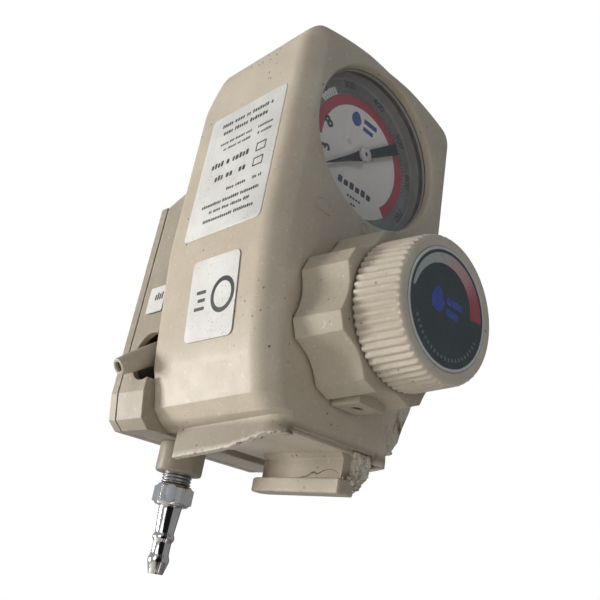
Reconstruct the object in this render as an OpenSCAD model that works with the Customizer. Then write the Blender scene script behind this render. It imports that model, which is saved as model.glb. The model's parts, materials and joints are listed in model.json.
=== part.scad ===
// Wall suction unit: a vacuum regulator with a gauge, a selector collar and an adjusting knob.
// Every module is drawn in housing coordinates: x to the right, y back from the front panel,
// z up from the panel's bottom edge. in_housing() then moves it into the part's own frame, whose
// origin is the centre of the wall plate's back face.

/* [Casing] */
// Width of the casing at its widest
body_w = 80; // [79:0.5:82]
// Height of the crown above the front panel's bottom edge
body_h = 142; // [142:0.5:146]
// Depth from the front panel to the wall
body_depth = 78; // [78:0.5:80]
// Depth of the front cover
cover_depth = 57; // [57:0.5:57.5]
// Half width of the cover at its tapered bottom
bottom_half_w = 34; // [33.5:0.5:35]
// Height at which the sides start to taper
taper_z = 60; // [56:1:64]
// Radius of the cover's long edges
edge_r = 5; // [4.5:0.5:5.5]
// Wall thickness of the mouldings
wall_t = 2.4; // [2:0.1:2.6]

/* [Gauge] */
// Height of the gauge centre above the panel's bottom edge
gauge_z = 107; // [106.5:0.5:107]
// Radius of the window in the front panel
window_r = 29.5; // [28:0.5:29.5]
// Angle of the pointer at zero, anticlockwise from the right
zero_deg = 217; // [205:1:225]
// Gear module of the movement
gear_m = 0.4; // [0.39:0.01:0.41]

/* [Controls] */
// Height of the knob axis above the panel's bottom edge
knob_z = 38; // [37.5:0.5:38.5]
// Radius of the adjusting knob at the panel side
knob_r = 22.6; // [21.5:0.1:23]
// Length of the adjusting knob
knob_len = 16.4; // [15:0.2:17]
// Number of ribs round the knob
knob_ribs = 60; // [40:4:72]
// Length of the selector collar
collar_len = 19; // [18.5:0.5:19]
// Radius of the selector collar's lobe tips
collar_r = 27.6; // [27:0.2:28]
// Number of lobes on the collar
collar_lobes = 8; // [8:1:10]

/* [Connections] */
// Distance of the outlet axis to the left of the centre line
outlet_x = 10.5; // [10:0.5:11]
// Diameter of the outlet boss
boss_d = 16.4; // [15:0.2:16.4]
// Width across the flats of the hose barb's hexagon
barb_flats = 12; // [11:0.5:13]
// Angle of the side port below the horizontal
port_tilt = 36; // [34:1:38]
// Left and right spacing of the wall screws
wall_pitch_x = 36; // [34:1:38]
// Up and down spacing of the wall screws
wall_pitch_z = 48; // [46:1:48]

/* [Hidden] */
$fn = 48;
hull_fn = 24;
fit = 0.05;                                  // radial clearance of a running fit
gap = 0.02;                                  // clearance of parts that only meet
wall_mid_z = 41.5;                           // height of the wall plate's centre
crown_r = 123;                               // radius of the crowned top
corner_r = 8;                                // radius of the two top corners
bulge_z = 4;                                 // height of the rounded bottom bulge
rear_cut = 9;                                // depth taken off the top rear corner
rear_drop = 16;                              // height over which it is taken off
neck_half_w = 24;                            // half width of the skirt under the bulge
hanger_half_w = 19;                          // half width of the gap left for the hanger
panel_t = wall_t;
plate_y = cover_depth - 2.8;                 // front face of the rear housing's front wall
box_y = cover_depth;                         // where the deeper box starts
box_back_y = body_depth - 5;                 // back face of the rear housing
box_wall = 2.2;
box_front_t = 2.2;                           // thickness of the box's own front wall
box_half_w = 36.5;
box_top_z = 90.5;
plate_top_z = 85;
post_spots = [[30, 72], [27, 15]];           // cover screws, one side
mount_spots = [[13, 26], [13, 52]];          // regulator mounting screws, one side
plate_spots = [[24, 79], [20, 5]];           // wall plate screws, one side

cream = "#cfc2ab";
sticker = "#e4e1d8";
brass = "#b89a55";
steel = "#b9bbbe";
rubber = "#26282a";

// Gauge depths
lens_y = 4.6;
dial_y = 10;
move_y = 12.5;                               // front movement plate
move_back_y = 22;                            // back movement plate
gear_y = 15.8;
case_r = 32;
shaft_r = 0.9;
pivot_drop = 40 * gear_m;                    // centre distance of pinion and sector
pinion_teeth = 10;
sector_teeth = 70;
tail_r = 8.6;                                // sector pivot to link pin
tail_deg = -10;
stem_y = 19;                                 // depth of the gauge stem
stem_r = 5;

// Regulator depths
bearing_y = 8;
valve_y = 12;
rotor_y = valve_y + 0.2;
chamber_y = 16.6;
seat_y = 21;
seat_t = 4;
disc_y = 36.5;
diaphragm_y = 39;
rear_y = 40;
valve_end_y = 54;
sleeve_r = 8;
spindle_r = 3;
valve_half_w = 20;
valve_z0 = 17;
valve_z1 = 60;
body_spots = [[16.5, -17.5], [16.5, 18]];    // valve body screws, about the knob axis
bearing_spots = [[16.5, -17.5], [16.5, 18]];
outlet_spot = [-5, 24];
outlet_y = 65;
port_y = 63.5;
port_mouth = [-44.3, 16.1];
port_len = 24;
port_dir = [-cos(port_tilt), 0, -sin(port_tilt)];
port_tip = [port_mouth.x, port_y, port_mouth.y];
port_root = port_tip - port_len * port_dir;
supply_x = -14;
supply_spot = [supply_x, port_root.z + (supply_x - port_root.x) * tan(port_tilt)];  // in line with the port

// ---------------------------------------------------------------- placing
module in_housing() translate([0, -body_depth, -wall_mid_z]) children();

// An outline drawn in x and z, made solid from depth y0 back to y1
module slab(y0, y1) translate([0, y1, 0]) rotate([90, 0, 0]) linear_extrude(y1 - y0) children();

// An outline drawn in y and z, made solid from x0 to x1
module side_slab(x0, x1) translate([x0, 0, 0]) rotate([90, 0, 90]) linear_extrude(x1 - x0) children();

// A round bar along y through p = [x, z]
module bar(y0, y1, r, p = [0, 0], r_end = 0)
    translate([p.x, y0, p.y]) rotate([-90, 0, 0])
        cylinder(h = y1 - y0, r1 = r, r2 = r_end > 0 ? r_end : r);

module ring(y0, y1, r, hole_r, p = [0, 0])
    difference() {
        bar(y0, y1, r, p);
        bar(y0 - 1, y1 + 1, hole_r, p);
    }

// A hexagonal bar along y
module hex_bar(y0, y1, flats, p = [0, 0])
    translate([p.x, y0, p.y]) rotate([-90, 0, 0])
        cylinder(h = y1 - y0, r = flats / sqrt(3), $fn = 6);

// Rectangle with round corners
module soft_rect(x0, x1, z0, z1, r) {
    translate([x0 + r, z0]) square([x1 - x0 - 2 * r, z1 - z0]);
    translate([x0, z0 + r]) square([x1 - x0, z1 - z0 - 2 * r]);
    for (x = [x0 + r, x1 - r], z = [z0 + r, z1 - r]) translate([x, z]) circle(r);
}

// The same spots on the left and the right
function both_sides(spots) = [for (s = [-1, 1], p = spots) [s * p.x, p.y]];

// Pan head screw along y, with its head towards +y when back is true
module pan_screw(head_y, tip_y, r, head_r, head_t, p) {
    dir = tip_y < head_y ? -1 : 1;
    difference() {
        union() {
            bar(min(head_y, head_y - dir * head_t), max(head_y, head_y - dir * head_t), head_r, p);
            bar(min(head_y, tip_y), max(head_y, tip_y), r, p);
        }
        for (a = [0, 90])
            translate([p.x, head_y - dir * head_t, p.y]) rotate([0, a, 0])
                cube([head_r * 1.1, head_t, 0.6], center = true);
    }
}

// A tube through a list of points, with round elbows
module run(points, r) {
    for (i = [0 : len(points) - 2]) {
        d = points[i + 1] - points[i];
        translate(points[i])
            rotate([0, acos(d.z / norm(d)), atan2(d.y, d.x)]) cylinder(h = norm(d), r = r);
    }
    if (len(points) > 2) for (i = [1 : len(points) - 2]) translate(points[i]) sphere(r + 0.06);
}

// Helical wire of round section, wound about y from y0 to y1
module coil(y0, y1, r, wire_r, turns, p) {
    steps = 14;
    sides = 6;
    n = turns * steps;
    points = [for (i = [0 : n], k = [0 : sides - 1])
        let (a = 360 * i / steps, b = 360 * k / sides, q = r + wire_r * cos(b))
        [p.x + q * cos(a), y0 + (y1 - y0) * i / n + wire_r * sin(b), p.y + q * sin(a)]];
    skin = [for (i = [0 : n - 1], k = [0 : sides - 1])
        let (m = (k + 1) % sides)
        [i * sides + k, i * sides + m, (i + 1) * sides + m, (i + 1) * sides + k]];
    ends = [[for (k = [sides - 1 : -1 : 0]) k], [for (k = [0 : sides - 1]) n * sides + k]];
    polyhedron(points, concat(skin, ends), convexity = 6);
}

// ---------------------------------------------------------------- casing
function crown_z(x, r) = body_h - crown_r + sqrt(r * r - x * x);
corner_x = body_w / 2 - corner_r;
corner_z = crown_z(corner_x, crown_r - corner_r);
high_spots = concat(
    [for (s = [-1, 1], a = [0 : 30 : 90])
        [s * (corner_x + (corner_r - edge_r) * cos(a)), corner_z + (corner_r - edge_r) * sin(a)]],
    [for (x = [-20 : 10 : 20]) [x, crown_z(x, crown_r - edge_r)]]);
low_spots = [for (s = [-1, 1], q = [[body_w / 2 - edge_r, taper_z],
    [bottom_half_w - edge_r, bulge_z + edge_r]]) [s * q.x, q.y]];

// A bar along y with a round front end, up to the depth y1
module round_bar(y1, r, p) translate([p.x, 0, p.y]) rotate([-90, 0, 0])
    rotate_extrude($fn = hull_fn) polygon(concat(
        [for (t = [0 : 18 : 90]) [r * sin(t), edge_r - r * cos(t)]], [[r, y1], [0, y1]]));

// The cover's rounded form, thinner all round by inset
module cover_form(inset, back_y) {
    r = edge_r - inset;
    hull() {
        for (p = low_spots) round_bar(back_y, r, p);
        for (p = high_spots) {
            round_bar(cover_depth - rear_cut - inset, r, p);
            bar(back_y - 4, back_y, r, [p.x, p.y - rear_drop - inset], $fn = hull_fn);
        }
    }
}

// Broken-off lower edge of the skirt, seen from the side
skirt_line = [[0, -2.5], [8, -3.5], [32, -8], [cover_depth - 0.3, -10.5]];

module skirt() intersection() {
    translate([0, 0, -12]) linear_extrude(20)
        soft_rect(-neck_half_w, neck_half_w, 0, cover_depth + 6, 3);
    side_slab(-30, 30) polygon(concat(skirt_line, [[cover_depth - 0.3, 9], [0, 9]]));
}

module front_cover() color(cream) in_housing() difference() {
    union() {
        difference() {
            union() {
                cover_form(0, cover_depth);
                skirt();
            }
            cover_form(wall_t, cover_depth + 1);
            translate([0, 0, -13]) linear_extrude(25)
                soft_rect(-neck_half_w + wall_t, neck_half_w - wall_t, panel_t + 0.3, cover_depth + 3, 1.5);
        }
        for (p = both_sides(post_spots)) bar(1, plate_y - gap, 3.4, p);
        bar(1, 5, sleeve_r + 3, [0, knob_z]);
    }
    translate([-hanger_half_w, -1, -13]) cube([2 * hanger_half_w, panel_t + 2, 13]);
    bar(-1, 6, window_r, [0, gauge_z]);
    bar(-1, 6, sleeve_r + 0.6, [0, knob_z]);
    for (p = both_sides(post_spots)) bar(plate_y - 14, plate_y + 1, 1.25, p);
}

// Outline of the box and the wall plate, with bevelled bottom corners
module box_outline(top_z, inset = 0) {
    h = box_half_w - inset;
    polygon([[-h, 10], [-h, top_z - inset], [h, top_z - inset], [h, 10], [h - 1.7, 1],
        [h - 5, inset - 2], [5 - h, inset - 2], [1.7 - h, 1]]);
}

module box_solid(inset, y0, y1) intersection() {
    slab(y0, y1) box_outline(box_top_z + 2, inset);
    side_slab(-50, 50) polygon([[box_y - 1, -9], [box_y - 1, box_top_z - inset],
        [box_back_y, box_top_z - 6 - inset], [box_back_y, -9]]);
}

// Outline of the wall that closes the back of the cover, inside its rim
module back_outline() {
    shy = wall_t + 0.4;
    drop = rear_drop + wall_t;
    side_x = body_w / 2 - shy;
    right = concat(
        [[bottom_half_w - 4.6, 7.2], [bottom_half_w - 2.7, 9.6], [side_x, taper_z + 3]],
        [for (a = [0 : 15 : 75]) [corner_x + (corner_r - shy) * cos(a),
            corner_z - drop + (corner_r - shy) * sin(a)]],
        [for (x = [30 : -7.5 : 7.5]) [x, crown_z(x, crown_r - shy) - drop]]);
    left = [for (i = [len(right) - 1 : -1 : 0]) [-right[i].x, right[i].y]];
    polygon(concat(right, [[0, crown_z(0, crown_r - shy) - drop]], left));
}

module rear_housing() color(cream) in_housing() difference() {
    union() {
        slab(plate_y, box_y) back_outline();
        difference() {
            box_solid(0, box_y, box_back_y);
            box_solid(box_wall, box_y + box_front_t, box_back_y - box_wall);
        }
        for (p = both_sides(plate_spots)) bar(box_back_y - 8, box_back_y - 1, 3, p);
    }
    // round side opening round the port
    translate([-45, port_y - 3, 22.5]) rotate([0, 90, 0]) cylinder(h = 18, r = 8.6);
    // regulator cap, hoses and outlet boss
    bar(plate_y - 1, box_y + box_front_t + 1, 9.2, [0, knob_z]);
    for (p = [supply_spot, outlet_spot]) bar(plate_y - 1, box_y + box_front_t + 1, 4.3, p);
    translate([-outlet_x, outlet_y, -3]) cylinder(h = 4, r = 4.6);
    for (p = both_sides(concat(post_spots, mount_spots))) {
        bar(plate_y - 1, box_y + box_front_t + 1, 1.7, p);
        bar(box_back_y - box_wall - 1, box_back_y + 1, 3.4, p);
    }
    for (p = both_sides(plate_spots)) bar(box_back_y - 7, box_back_y + 1, 1.3, p);
    for (x = [-1, 1], z = [-1, 1])
        bar(box_back_y - box_wall - 1, box_back_y + 1, 2.6,
            [x * wall_pitch_x / 2, wall_mid_z + z * wall_pitch_z / 2]);
}

module wall_plate() color(cream) in_housing() difference() {
    union() {
        slab(body_depth - 4, body_depth) box_outline(plate_top_z);
        slab(box_back_y, body_depth - 4 + gap) box_outline(plate_top_z - 3.5, 3.5);
    }
    for (x = [-1, 1], z = [-1, 1])
        bar(box_back_y - 1, body_depth + 1, 2.25,
            [x * wall_pitch_x / 2, wall_mid_z + z * wall_pitch_z / 2]);
    for (p = both_sides(plate_spots)) {
        bar(box_back_y - 1, body_depth + 1, 1.7, p);
        bar(body_depth - 2.2, body_depth + 1, 3.3, p);
    }
}

module cover_screws() color(steel) in_housing()
    for (p = both_sides(post_spots))
        pan_screw(box_y + box_front_t, plate_y - 12, 1.2, 2.9, 1.8, p);

module plate_screws() color(steel) in_housing()
    for (p = both_sides(plate_spots))
        pan_screw(body_depth - 2.2, box_back_y - 6, 1.25, 2.9, 1.8, p);

module nameplate_label() color(sticker) in_housing()
    side_slab(-body_w / 2 - 0.27, -body_w / 2 - gap) soft_rect(8, 49, 61, 113, 2);

module approval_label() color(sticker) in_housing() {
    lean = atan2(body_w / 2 - bottom_half_w, taper_z - bulge_z - edge_r);
    mid_z = 38;
    side_x = bottom_half_w + (mid_z - bulge_z - edge_r) * tan(lean) + edge_r * (1 / cos(lean) - 1);
    translate([-side_x, 0, mid_z]) rotate([0, -lean, 0])
        side_slab(-0.27, -gap) soft_rect(13, 40, -14, 14, 2);
}

module port_label() color(sticker) in_housing()
    side_slab(-box_half_w - 0.2, -box_half_w - gap) soft_rect(box_y + 0.3, 67, 39.5, 48, 1);

// ---------------------------------------------------------------- bottle hanger
rail_x = 10;                                 // centre line of the rail's web
rail_z = -14.1;                              // underside of the rail's foot
rail_t = 4.6;
hanger_spots = [[-3, 17], [-3, 44]];         // x and y of its screws

module bottle_hanger() color(cream) in_housing() difference() {
    union() {
        translate([0, 0, 0.4]) linear_extrude(6) soft_rect(-hanger_half_w, hanger_half_w, 2.8, 50, 1);
        side_slab(rail_x - 2.6, rail_x + 2.6) polygon([[4, 1], [3, -11], [40, -11], [41, 1]]);
        // widened root of the web
        slab(3, 40.5) polygon([[rail_x - 5.5, 1], [rail_x - 2.6, -3.4], [rail_x + 2.6, -3.4],
            [rail_x + 5.5, 1]]);
        // foot of the rail, with chamfered ends
        translate([0, 0, rail_z]) linear_extrude(rail_t)
            polygon([[rail_x - 5.6, 4.4], [rail_x - 2.6, 1.4], [rail_x + 1, 1.4], [rail_x + 4, 4.4],
                [rail_x + 4, 39], [rail_x + 1, 42], [rail_x - 2.6, 42], [rail_x - 5.6, 39]]);
        // what is left of the broken front stop
        slab(1.4, 4.4) polygon([[rail_x, -0.1], [hanger_half_w - 0.4, -0.1],
            [hanger_half_w - 0.6, -3.2], [rail_x + 5.4, -9], [rail_x + 1, -12.4]]);
        for (p = hanger_spots) translate([p.x, p.y, 6]) cylinder(h = valve_z0 - 6 - gap, r = 4);
    }
    for (p = hanger_spots) translate([p.x, p.y, -1]) {
        cylinder(h = 30, r = 1.7);
        cylinder(h = 4.4, r = 3.2);
    }
    translate([-3, 8, -1]) cylinder(h = 4, r = 2.1);
}

module hanger_screws() color(steel) in_housing()
    for (p = hanger_spots) translate([p.x, p.y, 3.4]) rotate([-90, 0, 0])
        pan_screw(0, -(valve_z0 + 5 - 3.4), 1.6, 3, 1.8, [0, 0]);

// ---------------------------------------------------------------- gauge
module at_gauge() in_housing() translate([0, 0, gauge_z]) children();

module gauge_case() color(steel) at_gauge() difference() {
    bar(lens_y - 0.2, 34, case_r);
    bar(lens_y - 1, 32.8, case_r - 1);
    // the stem passes through the rim
    translate([0, stem_y, -case_r - 2]) cylinder(h = 6, r = stem_r + 1.4);
}

module gauge_bezel() color(steel) at_gauge() ring(3.6, lens_y - 0.2, case_r, window_r - 0.4);

module gauge_lens() color("#dfe8ea80") at_gauge() bar(lens_y, lens_y + 1.6, case_r - 1.1);

module gauge_dial() color("#d8d6d2") at_gauge() difference() {
    union() {
        bar(dial_y, dial_y + 0.8, case_r - 1.1);
        ring(lens_y + 1.65, dial_y + 0.4, case_r - 1.1, case_r - 1.8);
    }
    bar(dial_y - 1, dial_y + 2, 1.4);
    for (x = [-1, 1]) bar(dial_y - 1, dial_y + 2, 0.85, [x * 6.5, 3]);
}

module dial_screws() color(steel) at_gauge()
    for (x = [-1, 1]) pan_screw(dial_y, move_y + 0.7, 0.75, 1.5, 0.8, [x * 6.5, 3]);

module gauge_pointer() color("#202224") at_gauge() difference() {
    union() {
        bar(dial_y - 3.5, dial_y - 1.2, 2.8);
        slab(dial_y - 2.4, dial_y - 1.9) rotate(zero_deg) {
            polygon([[0, -2.2], [5, -1.6], [21.6, -0.3], [21.6, 0.3], [5, 1.6], [0, 2.2]]);
            translate([-21.3, -2]) square([21.3, 4]);
        }
    }
    bar(dial_y - 4, dial_y, shaft_r);
}

// Involute of a circle, as an angle in degrees
function inv(a) = tan(a) * 180 / PI - a;
pressure_deg = 20;
backlash = 0.03;

// Half the angle that a tooth fills at radius r
function tooth_half(r, pitch_r, teeth) =
    let (base_r = pitch_r * cos(pressure_deg))
    90 / teeth - backlash / pitch_r * 180 / PI + inv(pressure_deg)
        - inv(acos(min(1, base_r / max(r, base_r))));

function polar(r, a) = [r * cos(a), r * sin(a)];

// One tooth centred on the angle a
module tooth(a, pitch_r, teeth, root_r, tip_r) {
    radii = [for (i = [0 : 5]) root_r - 0.1 + (tip_r - root_r + 0.1) * i / 5];
    polygon(concat(
        [for (r = radii) polar(r, a - tooth_half(r, pitch_r, teeth))],
        [for (i = [5 : -1 : 0]) polar(radii[i], a + tooth_half(radii[i], pitch_r, teeth))]));
}

pinion_pitch_r = gear_m * pinion_teeth / 2;
sector_pitch_r = gear_m * sector_teeth / 2;
pinion_tip_r = pinion_pitch_r + gear_m;
sector_tip_r = sector_pitch_r + gear_m / 2;
pinion_root_r = pivot_drop - sector_tip_r - 0.15;
sector_root_r = pivot_drop - pinion_tip_r - 0.15;

module pinion_shaft() color(brass) at_gauge() {
    bar(dial_y - 3.1, move_back_y + 0.7, shaft_r);
    bar(move_y + 1, gear_y - 0.3, 1.4);
    slab(gear_y - 0.3, gear_y + 1.7) {
        circle(pinion_root_r);
        for (k = [0 : pinion_teeth - 1])
            tooth(-90 + (k + 0.5) * 360 / pinion_teeth, pinion_pitch_r, pinion_teeth,
                pinion_root_r, pinion_tip_r);
    }
}

module sector_gear() color(brass) at_gauge() translate([0, 0, -pivot_drop]) {
    bar(move_y + 0.1, move_back_y + 0.7, 1);
    bar(gear_y - 1.5, gear_y + 2.6, 2.4);
    slab(gear_y, gear_y + 1.4) {
        difference() {
            polygon(concat([[0, 0]], [for (a = [41 : 5.9 : 100]) polar(sector_root_r, a)]));
            polygon([polar(4, 70.5), for (a = [50 : 10.25 : 91]) polar(sector_root_r - 2, a)]);
        }
        for (k = [-9 : 1])
            tooth(90 + k * 360 / sector_teeth, sector_pitch_r, sector_teeth, sector_root_r,
                sector_tip_r);
        rotate(tail_deg) {
            translate([0, -1.3]) square([tail_r, 2.6]);
            translate([tail_r, 0]) circle(1.6);
        }
    }
    bar(gear_y + 1.4, gear_y + 3, 0.7, polar(tail_r, tail_deg));
}

link_start = polar(tail_r, tail_deg) - [0, pivot_drop];
link_end = [20.2, -13];

module tip_link() color(brass) at_gauge() difference() {
    slab(gear_y + 1.5, gear_y + 2.2) {
        d = link_end - link_start;
        translate(link_start) rotate(atan2(d.y, d.x)) {
            translate([0, -0.7]) square([norm(d), 1.4]);
            circle(1.5);
            translate([norm(d), 0]) circle(1.5);
        }
    }
    bar(gear_y, gear_y + 4, 0.7 + fit, link_start);
    bar(gear_y, gear_y + 4, 0.6, link_end);
}

module movement_plates() color(brass) at_gauge() difference() {
    union() {
        for (y = [move_y, move_back_y]) slab(y, y + 0.8) soft_rect(-8.5, 8.5, -29, 6, 1.5);
        for (x = [-1, 1]) bar(move_y + 0.7, move_back_y + 0.1, 1.3, [x * 6.5, 3]);
    }
    bar(move_y - 1, move_back_y + 2, shaft_r + fit);
    bar(move_y - 1, move_back_y + 2, 1 + fit, [0, -pivot_drop]);
    for (x = [-1, 1]) bar(move_y - 1, move_y + 1.6, 0.8, [x * 6.5, 3]);
}

spiral_turns = 4;
spiral_n = spiral_turns * 24;
function spiral(i, w) = polar(1.5 + 4.4 * i / spiral_n + w, 360 * spiral_turns * i / spiral_n);

module hairspring() color(steel) at_gauge() slab(gear_y + 2.6, gear_y + 3.3)
    polygon(concat([for (i = [0 : spiral_n]) spiral(i, 0)],
        [for (i = [spiral_n : -1 : 0]) spiral(i, 0.25)]));

module bourdon_tube() color(brass) at_gauge() {
    translate([0, 17.5, 0]) rotate([90, 0, 0]) rotate([0, 0, -25]) rotate_extrude(angle = 283)
        difference() {
            translate([24.4, -3.5]) square([2.4, 7]);
            translate([25, -2.9]) square([1.2, 5.8]);
        }
    // flattened end piece that the link reaches
    slab(gear_y + 2.3, gear_y + 3) polygon([polar(24.6, -25), polar(24.6, -31), [19.4, -14.2],
        [19.4, -11.8]]);
}

module gauge_socket() color(brass) at_gauge() difference() {
    union() {
        slab(move_y + 0.8 + gap, move_back_y - gap) soft_rect(-7, 7, -29.8, -22.4, 0.6);
        translate([0, stem_y, -54.5]) cylinder(h = 25.2, r = stem_r);
        translate([0, stem_y, -42.5]) cylinder(h = 7, r = 12.5 / sqrt(3), $fn = 6);
    }
    translate([0, stem_y, -56]) cylinder(h = 30, r = 1.5);
}

module stem_seal() color(rubber) at_gauge() translate([0, stem_y, -46.98])
    rotate_extrude() translate([stem_r + 0.05, 0]) square([2.4, 1.6]);

// ---------------------------------------------------------------- regulator
module at_knob() in_housing() translate([0, 0, knob_z]) children();

module valve_outline()
    translate([0, -knob_z]) soft_rect(-valve_half_w, valve_half_w, valve_z0, valve_z1, 3);

module valve_body() color("#a9a7a2") at_knob() difference() {
    slab(valve_y, rear_y) valve_outline();
    bar(valve_y - 1, chamber_y, 13.6);
    bar(valve_y, disc_y, 11);
    bar(disc_y - 0.6, diaphragm_y, 15);
    bar(diaphragm_y, rear_y + 1, 18.05);
    // slots that keep the spring seat from turning
    for (a = [0, 180]) rotate([0, a, 0]) translate([0, chamber_y, -1.7]) cube([13.2, 17, 3.4]);
    // gauge port and its passage
    translate([0, stem_y, 14]) cylinder(h = 20, r = stem_r + fit);
    translate([0, stem_y, 5]) cylinder(h = 20, r = 1.4);
    // seal groove, screw holes
    rotate([90, 0, 0]) translate([0, 0, -chamber_y - 0.9]) rotate_extrude()
        translate([11.6, 0]) square([1.8, 1.2]);
    for (p = both_sides(body_spots)) bar(rear_y - 9, rear_y + 1, 1.3, p);
    for (p = both_sides(bearing_spots)) bar(valve_y - 1, valve_y + 9, 1.3, p);
    translate([hanger_spots[0].x, hanger_spots[0].y, valve_z0 - knob_z - 1])
        cylinder(h = 8, r = 1.65);
}

module bearing_plate() color(brass) at_knob() difference() {
    slab(bearing_y, valve_y) valve_outline();
    bar(bearing_y - 1, valve_y + 1, sleeve_r + fit);
    for (p = both_sides(bearing_spots)) bar(bearing_y - 1, valve_y + 1, 1.7, p);
    bar(valve_y - 3, valve_y + 1, 1.55, [0, 11]);
}

module bearing_screws() color(steel) at_knob()
    for (p = both_sides(bearing_spots)) pan_screw(bearing_y, valve_y + 8, 1.25, 2.7, 1.8, p);

module rear_valve_body() color("#a9a7a2") at_knob() difference() {
    slab(rear_y + gap, valve_end_y) valve_outline();
    bar(rear_y - 1, 42.6, 12);
    bar(rear_y, 45, 3);
    bar(44.6, valve_end_y, 5.55);
    bar(47, valve_end_y + 1, 6.5);
    for (p = both_sides(body_spots)) {
        bar(rear_y - 1, valve_end_y + 1, 1.7, p);
        bar(valve_end_y - 2.6, valve_end_y + 1, 2.9, p);
    }
    for (p = both_sides([for (q = mount_spots) q - [0, knob_z]])) bar(45, valve_end_y + 1, 1.65, p);
    for (p = [supply_spot, outlet_spot]) {
        bar(48, valve_end_y + 1, 2.5, p - [0, knob_z]);
    }
    translate([hanger_spots[1].x, hanger_spots[1].y, valve_z0 - knob_z - 1])
        cylinder(h = 8, r = 1.65);
}

module body_screws() color(steel) at_knob()
    for (p = both_sides(body_spots))
        pan_screw(valve_end_y - 2.4, rear_y - 8, 1.25, 2.7, 1.8, p);

module mount_screws() color(steel) in_housing()
    for (p = both_sides(mount_spots))
        pan_screw(box_y + box_front_t, 46, 1.6, 3.2, 1.8, p);

module diaphragm() color(rubber) at_knob() difference() {
    bar(diaphragm_y + gap, rear_y, 18);
    bar(diaphragm_y - 1, rear_y + 1, 2.45);
}

module diaphragm_plate() color(steel) at_knob() {
    bar(disc_y, diaphragm_y, 9);
    bar(diaphragm_y, 43.5, 2.4);
}

module poppet() color(brass) at_knob() {
    bar(43.5, 47.2, 1.4);
    bar(47.1, 49.2, 4.2);
}

module poppet_spring() color(steel) at_knob() coil(49.6, 52.1, 3, 0.3, 3, [0, 0]);

module valve_seat() color("#e8e4da") at_knob() ring(44.6 + gap, 47, 5.5, 2);

module valve_cap() color(brass) at_knob() {
    difference() {
        bar(50.6, valve_end_y, 6.45);
        bar(50, 52.5, 3.6);
    }
    hex_bar(valve_end_y, 58, 14);
}

module range_spring() color(steel) at_knob()
    coil(seat_y + seat_t + 0.8, disc_y - 0.8, 7.4, 0.75, 4, [0, 0]);

module spring_seat() color(brass) at_knob() difference() {
    union() {
        bar(seat_y, seat_y + seat_t, 9.6);
        translate([-12.4, seat_y, -1.4]) cube([24.8, seat_t - 1, 2.8]);
    }
    bar(seat_y - 1, seat_y + seat_t + 1, spindle_r + fit);
}

spindle_end_y = 33.5;

module adjusting_screw() color(steel) at_knob() difference() {
    union() {
        bar(-33, spindle_end_y, spindle_r);
        bar(chamber_y + 0.2, chamber_y + 1.8, 5);
    }
    bar(-34, -22, 1.25);
}

// ---------------------------------------------------------------- controls
collar_y = -0.6;                             // panel side of the collar
knob_y = collar_y - collar_len - 0.5;        // panel side of the knob
knob_front_y = knob_y - knob_len;

module rib_outline() {
    step = 360 / knob_ribs;
    polygon([for (k = [0 : knob_ribs - 1], q = [[0, -0.7], [0.3, 0], [0.55, 0], [0.85, -0.7]])
        polar(knob_r + q.y, (k + q.x) * step)]);
}

module adjust_knob() color(cream) at_knob() difference() {
    union() {
        difference() {
            intersection() {
                slab(knob_front_y, knob_y) rib_outline();
                bar(knob_front_y, knob_y, knob_r - 1.2, [0, 0], knob_r);
            }
            bar(knob_front_y + 3, knob_y + 1, knob_r - 4);
        }
        bar(knob_front_y + 1, knob_y - 1, 6.5);
    }
    bar(knob_front_y - 1, knob_front_y + 0.4, 17.6);
    bar(-33, knob_y + 1, spindle_r + gap);
    bar(knob_front_y, -30, 1.6);
    bar(knob_front_y, -33.8, 3.1);
}

module knob_screw() color(steel) at_knob() pan_screw(-33.8, -25, 1.2, 2.9, 1.6, [0, 0]);

module knob_disc() color("#2c322f") at_knob() bar(knob_front_y + 0.05, knob_front_y + 0.38, 17.5);

// Radius of the collar round the angle a: flat lobe tips with hollow sides between them
tip_share = 0.27;                            // share of a lobe's pitch that is flat
function collar_at(a) =
    let (pitch = 360 / collar_lobes, u = abs((a % pitch) - pitch / 2) / (pitch / 2),
        t = max(0, (u - tip_share) / (1 - tip_share)))
    collar_r - 3 * (1 - pow(1 - t, 2));

module collar_outline() polygon([for (a = [0 : 3 : 357]) polar(collar_at(a), a)]);

module selector_knob() color(cream) at_knob() difference() {
    union() {
        difference() {
            intersection() {
                slab(collar_y - collar_len, collar_y) collar_outline();
                bar(collar_y - collar_len, collar_y, collar_r - 0.5, [0, 0], collar_r + 0.6);
            }
            bar(collar_y - collar_len + 3, collar_y + 1, 21);
        }
        bar(collar_y - collar_len, collar_y, sleeve_r + 4);
        // lug for the set screw, under the collar
        translate([-6, -12, -28]) cube([12, 12 + collar_y, 12]);
        side_slab(-3.5, 3.5) polygon([[-12, -24], [collar_y, -24], [collar_y, -9], [-12, -9]]);
    }
    bar(collar_y - collar_len - 1, collar_y + 1, sleeve_r + gap);
    translate([0, -6, -29]) cylinder(h = 25, r = 2);
}

module selector_set_screw() color("#303234") at_knob() difference() {
    translate([0, -6, -27.6]) cylinder(h = 27.6 - sleeve_r - 0.15, r = 1.95);
    translate([0, -6, -28.6]) cylinder(h = 4, r = 1.15, $fn = 6);
}

module selector_sleeve() color(brass) at_knob() difference() {
    union() {
        bar(-17, rotor_y + 1, sleeve_r);
        bar(rotor_y, 16.2, 13.5);
    }
    bar(-18, 17, spindle_r + fit);
    for (a = [0, 45, -45]) rotate([0, a, 0]) bar(rotor_y + 2.5, 17, 1.4, [0, 9]);
}

module sleeve_ring() color(steel) at_knob() ring(6.4, 7.6, 10.6, sleeve_r);

module rotor_seal() color(rubber) at_knob()
    rotate([90, 0, 0]) translate([0, 0, -chamber_y - 0.25]) rotate_extrude()
        translate([12.5, 0]) circle(0.6);

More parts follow.
